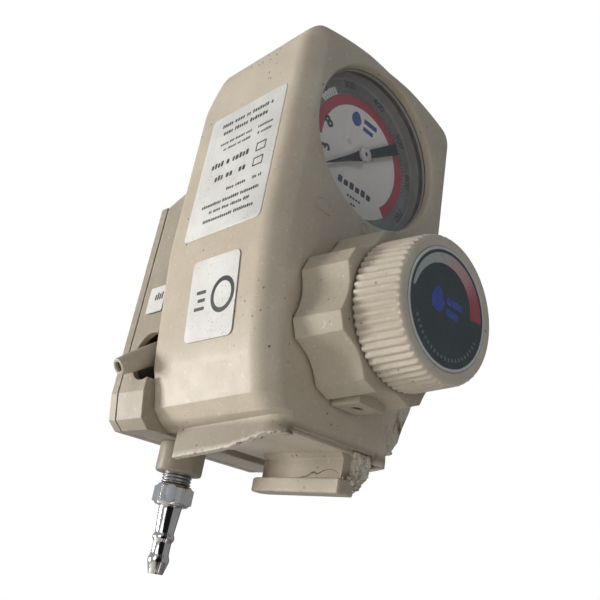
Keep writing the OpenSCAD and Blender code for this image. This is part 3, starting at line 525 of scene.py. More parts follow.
def make_materials():
    made = {}
    made["cream_abs"] = moulded("cream_abs", "cream_abs", (0.60, 0.525, 0.415), (0.53, 0.455, 0.35), stains=STAINS, shade_below=(-0.6, 2.5))
    # lighter copy of the same cream, for the knob and the hanger's base: painted light
    made["cream_lit_copy"] = moulded("cream_lit_copy", "cream_abs", (0.62, 0.55, 0.445), (0.54, 0.47, 0.375), grime_and_shade=0.8, edge_r=0.3)
    # darker copy of the same cream, for the collar, its lug and the side port: painted shade, as in the casing's shadow
    made["cream_shaded_controls"] = moulded("cream_shaded_controls", "cream_abs", (0.50, 0.44, 0.345),
                                     (0.44, 0.38, 0.295), grime_and_shade=0.8, edge_r=0.3)
    # darker copy of the same cream, for the rear housing and wall plate: painted shade on the recessed rear parts
    made["cream_shaded_rear"] = moulded("cream_shaded_rear", "cream_abs", (0.42, 0.365, 0.285), (0.37, 0.315, 0.24))
    # darker copy of the same cream, for the hanger's web, foot, broken stop and crumbs: painted shade, as where the web
    # lies recessed
    made["cream_shaded_hanger"] = moulded("cream_shaded_hanger", "cream_abs", (0.49, 0.43, 0.335), (0.43, 0.37, 0.285), stains=STAINS)
    made["label_vinyl"] = vinyl("label_vinyl", "label_vinyl")
    made["plated_steel"] = metal("plated_steel", "plated_steel", (0.62, 0.62, 0.61), (0.42, 0.41, 0.39), 0.22, 0.42)
    made["clear_lens"] = lens_glass()
    made["dial_print"] = dial_print()
    made["black_paint"] = metal("black_paint", "black_paint", (0.02, 0.022, 0.022), (0.035, 0.037, 0.036), 0.35, 0.55)
    made["black_paint"].set(Metallic=0.0, Specular_IOR_Level=0.2)
    made["bezel_grey"] = rubber("bezel_grey", "black_paint", (0.33, 0.315, 0.30), (0.42, 0.40, 0.38))
    made["brass"] = metal("brass", "brass", (0.70, 0.50, 0.23), (0.38, 0.25, 0.11), 0.2, 0.42, (400, 20, 400))
    made["cast_alloy"] = metal("cast_alloy", "cast_alloy", (0.56, 0.55, 0.53), (0.40, 0.39, 0.37), 0.4, 0.62)
    made["black_rubber"] = rubber("black_rubber", "black_rubber", (0.022, 0.022, 0.022), (0.085, 0.08, 0.075))
    made["white_polymer"] = rubber("white_polymer", "white_polymer", (0.72, 0.71, 0.66), (0.60, 0.58, 0.52))
    made["disc_print"] = disc_print()
    made["hose_rubber"] = rubber("hose_rubber", "hose_rubber", (0.16, 0.18, 0.17), (0.27, 0.28, 0.26))
    made["chrome_plate"] = chrome("chrome_plate")
    made["hub_white"] = ink("hub_white", "dial_print", (0.72, 0.60, 0.56))
    made["black_ink"] = ink("black_ink", "label_vinyl", (0.03, 0.03, 0.032))
    made["bold_ink"] = ink("bold_ink", "label_vinyl", (0.02, 0.02, 0.022), 0.15)
    made["faded_ink"] = ink("faded_ink", "dial_print", (0.085, 0.09, 0.085), 0.3)
    made["screw_white"] = ink("screw_white", "plated_steel", (0.74, 0.68, 0.63), 0.3)
    made["blue_ink"] = ink("blue_ink", "dial_print", (0.03, 0.055, 0.30))
    made["hole_shade"] = rubber("hole_shade", "cream_abs", (0.035, 0.028, 0.022), (0.10, 0.08, 0.06))
    made["dark_thread"] = metal("dark_thread", "black_rubber", (0.30, 0.30, 0.29), (0.13, 0.125, 0.12), 0.2, 0.45, (20, 20, 900))
    return {name: s.material for name, s in made.items()}


BAND = (20.0, 24.0)                           # radii of the dial's red band
SCALE_START, SCALE_END = 217, -46.5           # angles of zero and full scale
FULL_SCALE = 760
MATERIALS = make_materials()


def dress_cad_nodes():
    """Every CAD node takes the material of its slot in the record, except the rear housing and wall plate,
    which take a darker copy of the cream as painted shade.
    """
    shaded_nodes = {"rear_housing": "cream_shaded_rear", "wall_plate": "cream_shaded_rear"}
    for part in frame["record"]["subparts"]:
        node = frame["nodes"][part["node"]]
        node.data.materials.clear()
        node.data.materials.append(MATERIALS[shaded_nodes.get(part["node"], part["material_slot"])])
        for face in node.data.polygons:
            face.material_index = 0


# ------------------------------------------------------------------ front cover
CORNER_R, CROWN_R = 8, 123
REAR_CUT, REAR_DROP = 8, 13
HANGER_HALF_W = 19
WALL = 2.4
WINDOW_R, WINDOW_UP = 30.7, 0.4              # the window and how far its middle is above the dial's


def skirt_z(y):
    """Height of the skirt's broken lower edge."""
    line = ((0, -2.5), (8, -3.5), (22, -6.7), (32, -7.9), (50, -9.6), (COVER_DEPTH, -10.5))
    for (y0, z0), (y1, z1) in zip(line, line[1:]):
        if y <= y1:
            return z0 + (z1 - z0) * (y - y0) / (y1 - y0)
    return line[-1][1]


# x and z of the cover's lower side, from the neck over the bulge, at its front and rear ends
LOW_FRONT = ((24.0, -0.4), (24.0, 2.3), (24.15, 2.55), (25.6, 2.62), (27.3, 2.75), (27.8, 3.1), (29.3, 5.0),
             (30.1, 6.05), (31.0, 7.2), (31.7, 9.7), (32.8, 12.9), (34.0, 16.3), (34.6, 17.9), (35.0, 19.4),
             (35.65, 23.0))
LOW_REAR = ((24.0, -2.9), (24.0, -1.0), (24.15, -0.75), (25.6, 0.15), (27.3, 1.3), (27.8, 1.7), (29.3, 3.25),
            (30.1, 4.05), (31.0, 5.0), (31.7, 8.0), (32.8, 12.3), (34.0, 15.8), (34.6, 17.4), (35.0, 19.2),
            (35.65, 23.0))
SIDE = ((36.5, 30.2), (37.7, 40.4), (38.9, 50.6), (39.6, 56.4), (39.95, 61.0), (40.0, 66.0))
EDGE_LEFT, EDGE_RIGHT = 7.5, 3.2              # roundness of the front edge on either side
RIGHT_TUCK = 1.3                              # worn-off width of the bulge's right side
SKIRT_END = 50.4                              # depth where the skirt stops


def side_profile(y):
    """Right half of the cover's outline at depth y, with its outward normals, from neck to crown."""
    back = y / COVER_DEPTH
    low = [(a + (c - a) * back, b + (d - b) * back) for (a, b), (c, d) in zip(LOW_FRONT, LOW_REAR)]
    crown_z = CROWN_Z + 0.7
    corner_x = HALF_W - CORNER_R
    corner_z = crown_z - CROWN_R + math.sqrt((CROWN_R - CORNER_R) ** 2 - corner_x ** 2)
    side = [(HALF_W, z) for z in (75, 85, 95, 105, 114, 122)]
    start = math.atan2(corner_z - (crown_z - CROWN_R), corner_x)
    corner = [(corner_x + CORNER_R * math.cos(start * k / 8), corner_z + CORNER_R * math.sin(start * k / 8))
              for k in range(9)]
    crown = [(CROWN_R * math.cos(a), crown_z - CROWN_R + CROWN_R * math.sin(a))
             for a in (start + (math.pi / 2 - start) * k / 9 for k in range(1, 10))]
    fuller = [(x, z + 0.9 * min(1.0, x / 12)) for x, z in corner + crown]
    points = low + list(SIDE) + side + fuller
    normals = []
    for i in range(len(points)):
        a, b = points[max(i - 1, 0)], points[min(i + 1, len(points) - 1)]
        d = Vector((b[0] - a[0], b[1] - a[1])).normalized()
        normals.append(Vector((d.y, -d.x)))
    normals[-1] = Vector((0, 1))
    return points, normals


def front_inset(y, r):
    """How far the rounded front edge of radius r stands in from the side at depth y."""
    return r - math.sqrt(r * r - (r - min(y, r)) ** 2)


def cover_half(y, rear_inset, r_side):
    """Half of a section of the cover, from the neck to the crown, for a front edge of radius r_side."""
    points, normals = side_profile(y)
    drop = REAR_DROP * (max(0.0, y - (COVER_DEPTH - REAR_CUT)) / REAR_CUT) ** 1.6
    half = []
    for (x, z), n in zip(points, normals):
        top = min(1.0, max(0.0, (n.y - 0.15) / 0.7))
        inset = front_inset(y, r_side + (EDGE_RIGHT - r_side) * top) + rear_inset
        share = min(1.0, max(0.45, (z + 6) / 12))
        low = min(1.0, max(0.0, (z - 100) / 26))
        tuck = RIGHT_TUCK * min(1.0, max(0.0, (26 - z) / 12)) if r_side == EDGE_RIGHT and z > 3 else 0.0
        out, up = (n.x, n.y) if n.y >= 0 else (max(n.x, 0.9), 0.3 * n.y)
        x, z = x - out * inset * share - tuck, z - up * inset * share - drop * low
        if y > SKIRT_END:
            z = max(z, -0.85 + 0.02 * len(half))
        half.append((x, y, z))
    return half


def cover_ring(y, rear_inset, jag):
    """One section of the cover at depth y, from the right skirt over the crown to the left."""
    halves = []
    for side, r in enumerate((EDGE_RIGHT, EDGE_LEFT)):
        half = cover_half(y, rear_inset, r)
        top = half[0][2]
        low = skirt_z(y) + jag[side] if y < SKIRT_END else top - 0.2
        feet = [(half[0][0], y, low + (top - low) * t) for t in (0.0, 0.07, 0.3, 0.65)]
        halves.append(feet + half)
    right, left = halves
    return right + [(-x, yy, z) for x, yy, z in reversed(left[:-1])]


def cover_sections():
    """(depth, rear inset) of the cover's sections: rounded front, sides and a small rear edge."""
    front = [EDGE_LEFT * (1 - math.cos(math.radians(a))) for a in range(0, 91, 6)]
    sides = [EDGE_LEFT + k * (COVER_DEPTH - EDGE_LEFT - 0.6) / 46 for k in range(1, 47)]
    sides = sorted(sides + [SKIRT_END - 0.15, SKIRT_END + 0.05])
    return [(y, 0) for y in front + sides] + [(COVER_DEPTH - 0.2, 0.12), (COVER_DEPTH, 0.45)]


def front_cover():
    """The crowned cover: a shell with a rounded front, a window, a neck and a broken skirt."""
    rng = random.Random(11)
    rings = []
    for y, inset in cover_sections():
        chip = 0.95 if 6 < y < 25 else 0.13
        jag = [chip * (rng.uniform(-0.4, 0.4) + 0.7 * noise.noise(Vector((y * 0.35, 9 * side, 3)))) for side in (0, 1)]
        rings.append(cover_ring(y, inset, jag))
    verts, faces = loft(rings, closed=False, caps=False)
    mesh_verts = [Vector(at(*v)) for v in verts]
    bm = bmesh.new()
    made = [bm.verts.new(v) for v in mesh_verts]
    for face in faces:
        bm.faces.new([made[i] for i in face])
    fill_panel(bm, made[:len(rings[0])])
    mesh = bpy.data.meshes.new("cover_shell")
    bm.to_mesh(mesh)
    bm.free()
    cover = bpy.data.objects.new("cover_shell", mesh)
    bpy.context.scene.collection.objects.link(cover)
    mesh.materials.append(MATERIALS["cream_abs"])
    tidy_mesh(mesh, 18)
    wear(cover, lambda p: max(0.0, min(1.0, 1 - (p.z - skirt_z(p.y) - 0.3) / 0.5)) if p.z < 0 else 0.0)
    shell = cover.modifiers.new("wall", "SOLIDIFY")
    shell.thickness = WALL * MM
    shell.offset = -1
    shell.use_even_offset = False
    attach(cover, "casing")
    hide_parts("front_cover")
    return cover


def panel_foot(rng):
    """Lower edge of the front panel from the left corner piece to the right one."""
    left = [(-21.0, -2.3), (-HANGER_HALF_W, -2.1), (-HANGER_HALF_W, -0.9), (-HANGER_HALF_W + 0.4, 0.0)]
    edge = [(x, rng.uniform(-0.06, 0.06)) for x in range(-16, 16, 3)]
    right = [(17.2, 0.1), (18.0, -0.8), (18.6, -1.9), (21.0, -2.4)]
    return left + edge + right


def fill_panel(bm, rim):
    """Closes the front with a flat panel that has a window with a rounded lip and a sleeve hole."""
    rng = random.Random(5)
    foot = [bm.verts.new(at(x, 0, z)) for x, z in panel_foot(rng)]
    border = rim + foot
    edges = []
    for a, b in zip(border, border[1:] + border[:1]):
        edges.append(bm.edges.get((a, b)) or bm.edges.new((a, b)))
    lip = [(0.9, 0.0), (0.6, 0.07), (0.32, 0.27), (0.1, 0.62), (0.0, 1.1), (0.0, 2.2), (0.0, 3.2)]
    loops = []
    for extra, y in lip:
        loops.append([bm.verts.new(at(*p)) for p in circle(WINDOW_R + extra, y, 0, GAUGE_Z + WINDOW_UP, 128)])
    hole = [bm.verts.new(at(*p)) for p in circle(8.6, 0, 0, KNOB_Z, 48)]
    for a, b in zip(loops, loops[1:]):
        for k in range(len(a)):
            m = (k + 1) % len(a)
            bm.faces.new((a[k], a[m], b[m], b[k]))
    for loop in (loops[0], hole):
        for k in range(len(loop)):
            pair = (loop[k], loop[(k + 1) % len(loop)])
            edges.append(bm.edges.get(pair) or bm.edges.new(pair))
    bmesh.ops.triangle_fill(bm, use_beauty=True, use_dissolve=False, edges=edges, normal=(0, -1, 0))


def panel_marks():
    """Two small raised marks on the panel, for the ends of the selector's travel."""
    full = [(-25.6 + 7 * k / 12, -0.02, 72.6 + 1.6 * math.sin(math.pi * k / 12)) for k in range(13)]
    tube("panel_mark_high", full, 0.2, MATERIALS["cream_abs"])
    lower = [(-25.4 + 6.6 * k / 4, -0.02, 69.6) for k in range(5)]
    tube("panel_mark_high_bar", lower, 0.2, MATERIALS["cream_abs"])
    ring_points = [(-2.5 + 1.9 * math.cos(a), -0.02, 73.0 + 1.9 * math.sin(a))
                   for a in (2 * math.pi * k / 24 for k in range(25))]
    tube("panel_mark_zero", ring_points, 0.2, MATERIALS["cream_abs"])


def tube(name, path, r, material, body="casing", sides=10, **keys):
    """A round bead along a path of casing points."""
    rings = []
    for i, p in enumerate(path):
        a, b = Vector(path[max(i - 1, 0)]), Vector(path[min(i + 1, len(path) - 1)])
        d = (b - a).normalized()
        u = d.cross(Vector((0, 1, 0))).normalized()
        w = d.cross(u).normalized()
        rings.append([tuple(Vector(p) + r * (math.cos(t) * u + math.sin(t) * w))
                      for t in (2 * math.pi * k / sides for k in range(sides))])
    return add(name, *loft(rings), material, body=body, **keys)


# ------------------------------------------------------------------ controls
def lobed_radius(angle, tip, hollow, flat=6.0, lobes=8, first=22.5):
    """Radius of the selector collar: flat-topped lobes with hollow scallops between them."""
    pitch = 360 / lobes
    off = (angle - first + pitch / 2) % pitch - pitch / 2
    if abs(off) <= flat:
        return tip * math.cos(math.radians(flat)) / math.cos(math.radians(off))
    u = (abs(off) - flat) / (pitch / 2 - flat)
    return tip - hollow * (1 - (1 - u) ** 2)


def collar_angles():
    steps = []
    for lobe in range(8):
        mid = 22.5 + 45 * lobe
        steps += [mid + d for d in (-6, -3, 0, 3)]
        steps += [mid + 6 + 33 * k / 14 for k in range(14)]
    return steps


def selector_collar():
    back_y, front_y = depth_of("selector_knob", 1), depth_of("selector_knob", 0)
    sections = [(back_y, 0.5), (back_y - 0.15, 0.2), (back_y - 0.5, 0.0)]
    sections += [(back_y - 0.5 - k * (back_y - front_y - 0.8) / 6, 0.0) for k in range(1, 7)]
    sections += [(front_y + 0.1, 0.18), (front_y, 0.45)]
    rings = []
    for y, inset in sections:
        tip = 28.2 - 1.1 * (back_y - y) / (back_y - front_y)
        rings.append([((lobed_radius(a, tip, 3.0) - inset) * math.cos(math.radians(a)), y,
                       KNOB_Z + (lobed_radius(a, tip, 3.0) - inset) * math.sin(math.radians(a)))
                      for a in collar_angles()])
    for r, y in ((22.6, front_y), (20.9, front_y + 0.1), (20.4, front_y + 0.8), (20.2, front_y + 4), (9, front_y + 4)):
        rings.append([(r * math.cos(math.radians(a)), y, KNOB_Z + r * math.sin(math.radians(a)))
                      for a in collar_angles()])
    collar = add("selector_collar", *loft(rings), MATERIALS["cream_shaded_controls"], body="selector", smooth=27,
                 replaces=["selector_knob"])
    soften(collar, 0.28, 2, 27)
    return collar


def selector_lug():
    """Flat lug under the collar with a socket for its set screw."""
    back_y, low = depth_of("selector_knob", 1), KNOB_Z - 28
    middle_y, n = -6.0, 48

    def outline(scale, z):
        ring = []
        for k in range(n):
            c, w = math.cos(2 * math.pi * k / n), math.sin(2 * math.pi * k / n)
            reach = min(6.0 / max(abs(c), 1e-6), (5.95 - 0.05) / max(abs(w), 1e-6))
            ring.append((reach * c * scale, middle_y + (back_y - middle_y if w > 0 else 6.0) / 5.9 * reach * w, z))
        return ring

    def bore(r, z):
        return [(r * math.cos(2 * math.pi * k / n), middle_y + r * math.sin(2 * math.pi * k / n), z)
                for k in range(n)]

    rings = [outline(1.0, low + 9), outline(1.0, low + 1.2), outline(0.97, low + 0.4), outline(0.9, low),
             bore(2.2, low), bore(2.02, low + 0.12), bore(1.95, low + 0.4), bore(1.95, low + 1.4)]
    add("selector_lug", *loft(rings), MATERIALS["cream_shaded_controls"], body="selector")
    turned_down("set_screw", [(1.9, low + 2.2), (1.9, low + 0.75), (1.7, low + 0.6), (1.05, low + 0.6), (0.95, low + 0.75),
                              (0.95, low + 1.5)], MATERIALS["black_paint"], (0, middle_y), 48, flats=(3, 4, 5),
                body="selector", replaces=["selector_set_screw"])


def adjust_knob():
    """Ribbed knob: sixty round ribs that run out into a flat rounded rim."""
    ribs, per_rib = 60, 8
    back, front = depth_of("adjust_knob", 1), depth_of("adjust_knob", 0)
    r_back = span("adjust_knob", 0) / 2 + 0.8
    run = [(back, r_back - 0.7, 0.5), (back - 0.2, r_back - 0.2, 0.9), (back - 0.6, r_back, 1.0)]
    run += [(back - 0.6 - k * (back - front - 2.2) / 5, r_back - 0.95 * k / 5, 1.0) for k in range(1, 6)]
    run += [(front + 1.1, r_back - 1.1, 0.75), (front + 0.65, r_back - 1.35, 0.3), (front + 0.3, r_back - 1.7, 0.0),
            (front + 0.08, r_back - 2.1, 0.0), (front, r_back - 2.6, 0.0), (front, 19.1, 0.0),
            (front + 0.07, 18.75, 0.0), (front + 0.3, 18.55, 0.0), (front + 0.5, 18.5, 0.0)]
    rings = []
    for y, r, depth in run:
        ring = []
        for k in range(ribs * per_rib):
            phase = 2 * math.pi * (k % per_rib) / per_rib
            groove = 0.78 * depth * (0.5 + 0.5 * math.cos(phase)) ** 1.4
            a = 2 * math.pi * k / (ribs * per_rib)
            ring.append(((r - groove) * math.cos(a), y, KNOB_Z + (r - groove) * math.sin(a)))
        rings.append(ring)
    return add("ribbed_knob", *loft(rings), MATERIALS["cream_lit_copy"], body="adjuster", smooth=50,
               replaces=["adjust_knob", "knob_screw"])


def knob_disc():
    front = depth_of("adjust_knob", 0)
    profile = [(17.7, front + 0.45), (18.42, front + 0.4), (18.44, front + 0.1), (18.25, front - 0.02),
               (17.9, front - 0.04), (17.6, front + 0.08), (17.4, front + 0.1)]
    return lathe("knob_print_disc", profile, MATERIALS["disc_print"], (0, KNOB_Z), 128, body="adjuster",
                 replaces=["knob_disc"], smooth=40)


def knob_emblem():
    """A plain blue drop in the middle of the disc."""
    y = depth_of("adjust_knob", 0) + 0.1
    outline = []
    for k in range(40):
        a = 2 * math.pi * k / 40
        r = 3.1 * (1 + 0.45 * max(0.0, math.sin(a)) ** 6)
        outline.append((r * math.cos(a) - 5.2, KNOB_Z + 0.4 + r * math.sin(a)))
    bars = []
    for x0, x1, z0, z1 in ((-1.2, 6.6, 0.9, 3.2), (-1.2, 5.0, -2.6, -0.4)):
        bars.append([(x, KNOB_Z + z) for x, z in round_rect(x0, x1, z0, z1, 0.4, 3)])
    for k, bar in enumerate(bars):
        add(f"knob_emblem_bar_{k}", *prism(bar, y - 0.06, y + 0.05), MATERIALS["blue_ink"], body="adjuster",
            slot="disc_print")
    return add("knob_emblem", *prism(outline, y - 0.06, y + 0.05), MATERIALS["blue_ink"], body="adjuster",
               slot="disc_print")


def squeeze(piece):
    """Gives the piece its own copy of its mesh."""
    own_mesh(piece)


def coil_spring(name, node, r, wire, turns):
    """A wound spring on the knob's axis."""
    y0, y1 = depth_of(node, 0), depth_of(node, 1)
    path = []
    for k in range(24 * turns + 1):
        a = 2 * math.pi * k / 24
        path.append((r * math.cos(a), y0 + wire + (y1 - y0 - 2 * wire) * k / (24 * turns), KNOB_Z + r * math.sin(a)))
    spring = tube(name, path, wire, MATERIALS["plated_steel"], sides=8, replaces=[node])
    squeeze(spring)


def diaphragm():
    """Rubber disc with a rolled ring."""
    y0, y1 = depth_of("diaphragm", 0), depth_of("diaphragm", 1)
    r = span("diaphragm", 0) / 2
    third = (y1 - y0) / 3
    profile = [(2.5, y0), (11, y0), (12, y0 + third), (14.5, y0 + third), (15.5, y0), (r - 0.1, y0), (r, y0 + 0.1),
               (r, y1 - 0.1), (r - 0.1, y1), (2.5, y1), (2.5, y0)]
    rings = [circle(radius, y, 0, KNOB_Z, 72) for radius, y in profile]
    disc = add("diaphragm_disc", *loft(rings, caps=False), MATERIALS["black_rubber"], replaces=["diaphragm"])
    squeeze(disc)


# ------------------------------------------------------------------ gauge
def flat_text(name, text, size, x, z, turn, y, material, thick=0.06, bold=0.05):
    """Raised digits that face the front, centred at x and z and turned in the plane of the dial."""
    curve = bpy.data.curves.new(name, "FONT")
    curve.body = text
    curve.size = size * MM
    curve.align_x = "CENTER"
    curve.align_y = "CENTER"
    curve.extrude = thick * MM / 2
    curve.resolution_u = 4
    curve.offset = bold * MM
    source = bpy.data.objects.new(name + "_curve", curve)
    bpy.context.scene.collection.objects.link(source)
    bpy.context.view_layer.update()
    mesh = bpy.data.meshes.new_from_object(source)
    bpy.data.objects.remove(source)
    place = (Matrix.Translation(at(x, y, z)) @ Matrix.Rotation(-math.radians(turn), 4, "Y")
             @ Matrix.Rotation(math.pi / 2, 4, "X"))
    mesh.transform(place)
    mesh.materials.clear()
    mesh.materials.append(material)
    piece = bpy.data.objects.new(name, mesh)
    bpy.context.scene.collection.objects.link(piece)
    tidy_mesh(mesh, 30)
    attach(piece, "casing")
    return piece


DIAL_Y = depth_of("gauge_dial", 1) - 0.8      # front of the dial inside its rim


def bezel():
    """Thin dark ring that holds the lens."""
    y0, y1 = depth_of("gauge_bezel", 0), depth_of("gauge_bezel", 1)
    r = span("gauge_bezel", 0) / 2
    profile = [(30.5, y0 + 0.2), (30.7, y0), (r - 0.15, y0), (r, y0 + 0.15), (r, y1), (30.4, y1), (30.4, y0 + 0.3),
               (30.5, y0 + 0.2)]
    rings = [circle(radius, y, 0, GAUGE_Z, 128) for radius, y in profile]
    add("bezel_ring", *loft(rings, caps=False), MATERIALS["bezel_grey"], slot="black_paint", replaces=["gauge_bezel"])


def dial():
    y = DIAL_Y
    r = span("gauge_dial", 0) / 2
    top = depth_of("gauge_lens", 1) + 0.05
    lathe("dial_face", [(1.5, y + 0.7), (r - 0.3, y + 0.8), (r, y + 0.7), (r, top), (r - 0.6, top), (r - 0.9, y - 0.5),
                        (r - 1.4, y), (1.5, y)],
          MATERIALS["dial_print"], (0, GAUGE_Z), 128, replaces=["gauge_dial"])
    sweep = (SCALE_START - SCALE_END) / FULL_SCALE
    for value in range(100, 701, 100):
        a = SCALE_START - value * sweep
        flat_text(f"dial_number_{value}", str(value), 4.3, 27.9 * math.cos(math.radians(a)),
                  GAUGE_Z + 27.9 * math.sin(math.radians(a)), a - 90, y - 0.02, MATERIALS["faded_ink"])
    for digit, a in (("8", 165), ("3", 198)):
        flat_text(f"dial_inner_{digit}", digit, 6.2, 18.2 * math.cos(math.radians(a)),
                  GAUGE_Z + 18.2 * math.sin(math.radians(a)), a - 90 if digit == "3" else a - 110, y - 0.02,
                  MATERIALS["bold_ink"], bold=0.26)
    caption = [(-9.0 + 3.05 * k, -6.8 + 3.05 * k, -15.0, -12.3 - 0.5 * (k % 2)) for k in range(6)]
    bar_print("dial_caption", caption, y, MATERIALS["bold_ink"])
    unit = [(-3.4 + 1.5 * k, -2.4 + 1.5 * k, -18.4, -17.5) for k in range(5)]
    bar_print("dial_unit", unit + [(-1.2, -0.1, -20.9, -20.2), (0.2, 1.3, -20.9, -20.2)], y, MATERIALS["black_ink"])
    dial_emblem(y)


def dial_screws():
    """Two low white heads, flush with the print."""
    low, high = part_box("dial_screws")
    for name, end, side in (("dial_screw_left", low, 1), ("dial_screw_right", high, -1)):
        centre = ((end.x - ORIGIN.x) / MM + 1.5 * side, GAUGE_Z + 3)
        lathe(name, [(1.3, DIAL_Y + 0.1), (1.3, DIAL_Y - 0.03), (1.1, DIAL_Y - 0.08), (0.7, DIAL_Y - 0.08),
                     (0.5, DIAL_Y - 0.02)], MATERIALS["screw_white"], centre, 32, slot="plated_steel",
              replaces=["dial_screws"] if side > 0 else ())


def bar_print(name, bars, y, material):
    """Plain printed bars on the dial, from (x0, x1, z0, z1) about the gauge's centre."""
    verts, faces = [], []
    for x0, x1, z0, z1 in bars:
        outline = [(x, GAUGE_Z + z) for x, z in round_rect(x0, x1, z0, z1, (z1 - z0) * 0.14, 3)]
        more, skin = prism(outline, y - 0.05, y + 0.05)
        faces += [tuple(i + len(verts) for i in face) for face in skin]
        verts += more
    return add(name, verts, faces, material, slot="dial_print")


def dial_emblem(y):
    """A plain blue emblem: a solid drop beside two short bars."""
    drop = [(-4.6 + 2.6 * math.cos(a) * (1 - 0.3 * max(0, math.sin(a))), 14.4 + 3.1 * math.sin(a))
            for a in (2 * math.pi * k / 32 for k in range(32))]
    add("dial_emblem", *prism([(x, GAUGE_Z + z) for x, z in drop], y - 0.05, y + 0.05), MATERIALS["blue_ink"],
        slot="dial_print")
    bar_print("dial_emblem_bars", [(-0.6, 6.6, 14.9, 16.9), (-0.6, 5.0, 11.6, 13.4)], y, MATERIALS["blue_ink"])


def pointer():
    """Black pointer with a narrow tip, a broad tail and a pale hub with a dark centre."""
    y = DIAL_Y - 2.3
    a = math.radians(SCALE_START)
    outline = [(1.5, -2.2), (4.6, -1.65), (9, -1.1), (21.6, -0.22), (21.6, 0.22), (9, 1.1), (4.6, 1.65), (1.5, 2.2),
               (-3.0, 1.6), (-21.2, 2.3), (-21.2, -2.3), (-3.0, -1.6)]
    turned = [(x * math.cos(a) - z * math.sin(a), GAUGE_Z + x * math.sin(a) + z * math.cos(a)) for x, z in outline]
    needle = add("pointer_needle", *prism(turned, y, y + 0.45), MATERIALS["black_paint"], body="pointer",
                 replaces=["gauge_pointer"])
    soften(needle, 0.1, 2)
    hub_y = y - 1.1
    lathe("pointer_hub", [(2.0, y + 0.5), (2.75, y + 0.4), (2.85, y - 0.3), (2.7, hub_y + 0.15), (2.4, hub_y),
                          (0.8, hub_y), (0.7, hub_y + 0.5)], MATERIALS["hub_white"], (0, GAUGE_Z), 64, body="pointer",
          slot="black_paint")
    lathe("pointer_pin", [(0.72, hub_y + 0.6), (0.72, hub_y + 0.2), (0.5, hub_y + 0.05)], MATERIALS["black_paint"],
          (0, GAUGE_Z), 32, body="pointer")


# ------------------------------------------------------------------ labels
def side_label(name, y0, y1, z0, z1, replaces, lean=0.0, x_at=None, r=2.2):
    """A sticker on the left side: thin film with round corners that follows the side's lean."""
    outline = round_rect(y0, y1, z0, z1, r, 8)
    mid_z = (z0 + z1) / 2
    face_x = x_at if x_at is not None else -HALF_W

    def place(out, y, z):
        s = z - mid_z
        return (face_x - out * math.cos(lean) + s * -math.sin(lean), y, mid_z + s * math.cos(lean) - out * math.sin(lean))

    rings = [[place(out, my + (y - my) * k, mid_z + (z - mid_z) * k) for y, z in outline]
             for my in [(y0 + y1) / 2] for out, k in ((0.02, 1.0), (0.16, 1.0), (0.24, 0.994))]
    film = add(name, *loft(rings), MATERIALS["label_vinyl"], replaces=replaces)
    return film, place


def print_rows(name, place, rows, out=0.235):
    """Printed bars on a sticker, from (y0, y1, z0, z1) in casing millimetres."""
    verts, faces = [], []
    for y0, y1, z0, z1 in rows:
        r = min(y1 - y0, z1 - z0) * 0.3
        outline = round_rect(y0, y1, z0, z1, r, 3)
        more, skin = loft([[place(out + d, y, z) for y, z in outline] for d in (0.0, 0.03)])
        faces += [tuple(i + len(verts) for i in face) for face in skin]
        verts += more
    return add(name, verts, faces, MATERIALS["black_ink"])


def nameplate():
    """Large sticker with generic rows of dashes in place of its wording."""
    rng = random.Random(3)
    film, place = side_label("nameplate_film", 8, 49, 61, 113, ["nameplate_label"])
    rows = []
    lines = ((107.6, 1.9, 14, 43), (104.0, 1.9, 16, 41), (99.0, 1.3, 12, 20), (99.0, 1.3, 23, 41),
             (96.2, 1.3, 12, 20), (96.2, 1.3, 23, 39), (89.9, 2.7, 22, 44), (83.8, 2.7, 22, 27), (83.8, 2.7, 29, 39),
             (77.6, 1.4, 12, 17), (77.6, 1.4, 20, 31), (73.2, 1.5, 12, 43), (70.2, 1.5, 16, 38), (66.8, 1.5, 13, 40))
    for z, tall, y0, y1 in lines:
        y, wide = y0, tall * 0.5
        while y < y1 - wide:
            high = tall / 2 * rng.choice((0.72, 0.72, 1.0))
            length = wide * rng.uniform(0.7, 1.25)
            rows.append((y, y + length, z - tall * 0.36, z + high))
            y += length + tall * 0.2 + (tall * 0.5 if rng.random() < 0.14 else 0)
    print_rows("nameplate_dashes", place, rows)
    squares = [(13, 18, 88.2, 88.7), (13, 18, 91.2, 91.7), (13, 13.5, 88.2, 91.7), (17.5, 18, 88.2, 91.7),
               (13, 18, 82.2, 82.7), (13, 18, 85.2, 85.7), (13, 13.5, 82.2, 85.7), (17.5, 18, 82.2, 85.7)]
    print_rows("nameplate_boxes", place, squares)


def approval_label():
    """Smaller sticker with a plain ring and bar in place of its marks."""
    low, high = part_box("approval_label")
    mid_x = (low.x + high.x) / 2 / MM - ORIGIN.x / MM
    lean = math.atan2((high.x - low.x) / MM - 0.3, (high.z - low.z) / MM)
    film, place = side_label("approval_film", 15.2, 40, 24, 52, ["approval_label"], lean, mid_x - 0.02)
    rows = [(31, 36.5, 34.2, 35.4), (31, 35.0, 37.0, 38.2), (31, 36.0, 39.8, 41.0)]
    print_rows("approval_bars", place, rows)
    r = 6.0
    ring = [[place(0.235 + d, 22 + q * math.cos(a), 38 + q * math.sin(a))
             for a in (2 * math.pi * i / 48 for i in range(48))]
            for q, d in ((r, 0.0), (r, 0.03), (r - 1.6, 0.03), (r - 1.6, 0.0))]
    add("approval_ring", *loft(ring + ring[:1], caps=False), MATERIALS["bold_ink"])


def port_label():
    x_face = (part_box("rear_housing")[0].x - ORIGIN.x) / MM
    film, place = side_label("port_film", 57.6, 67.8, 38.6, 48.6, ["port_label"], 0.0, x_face, 0.7)
    print_rows("port_bars", place, [(58.6 + k * 1.35, 59.5 + k * 1.35, 43.2, 46.0 - 0.6 * (k % 2)) for k in range(4)])


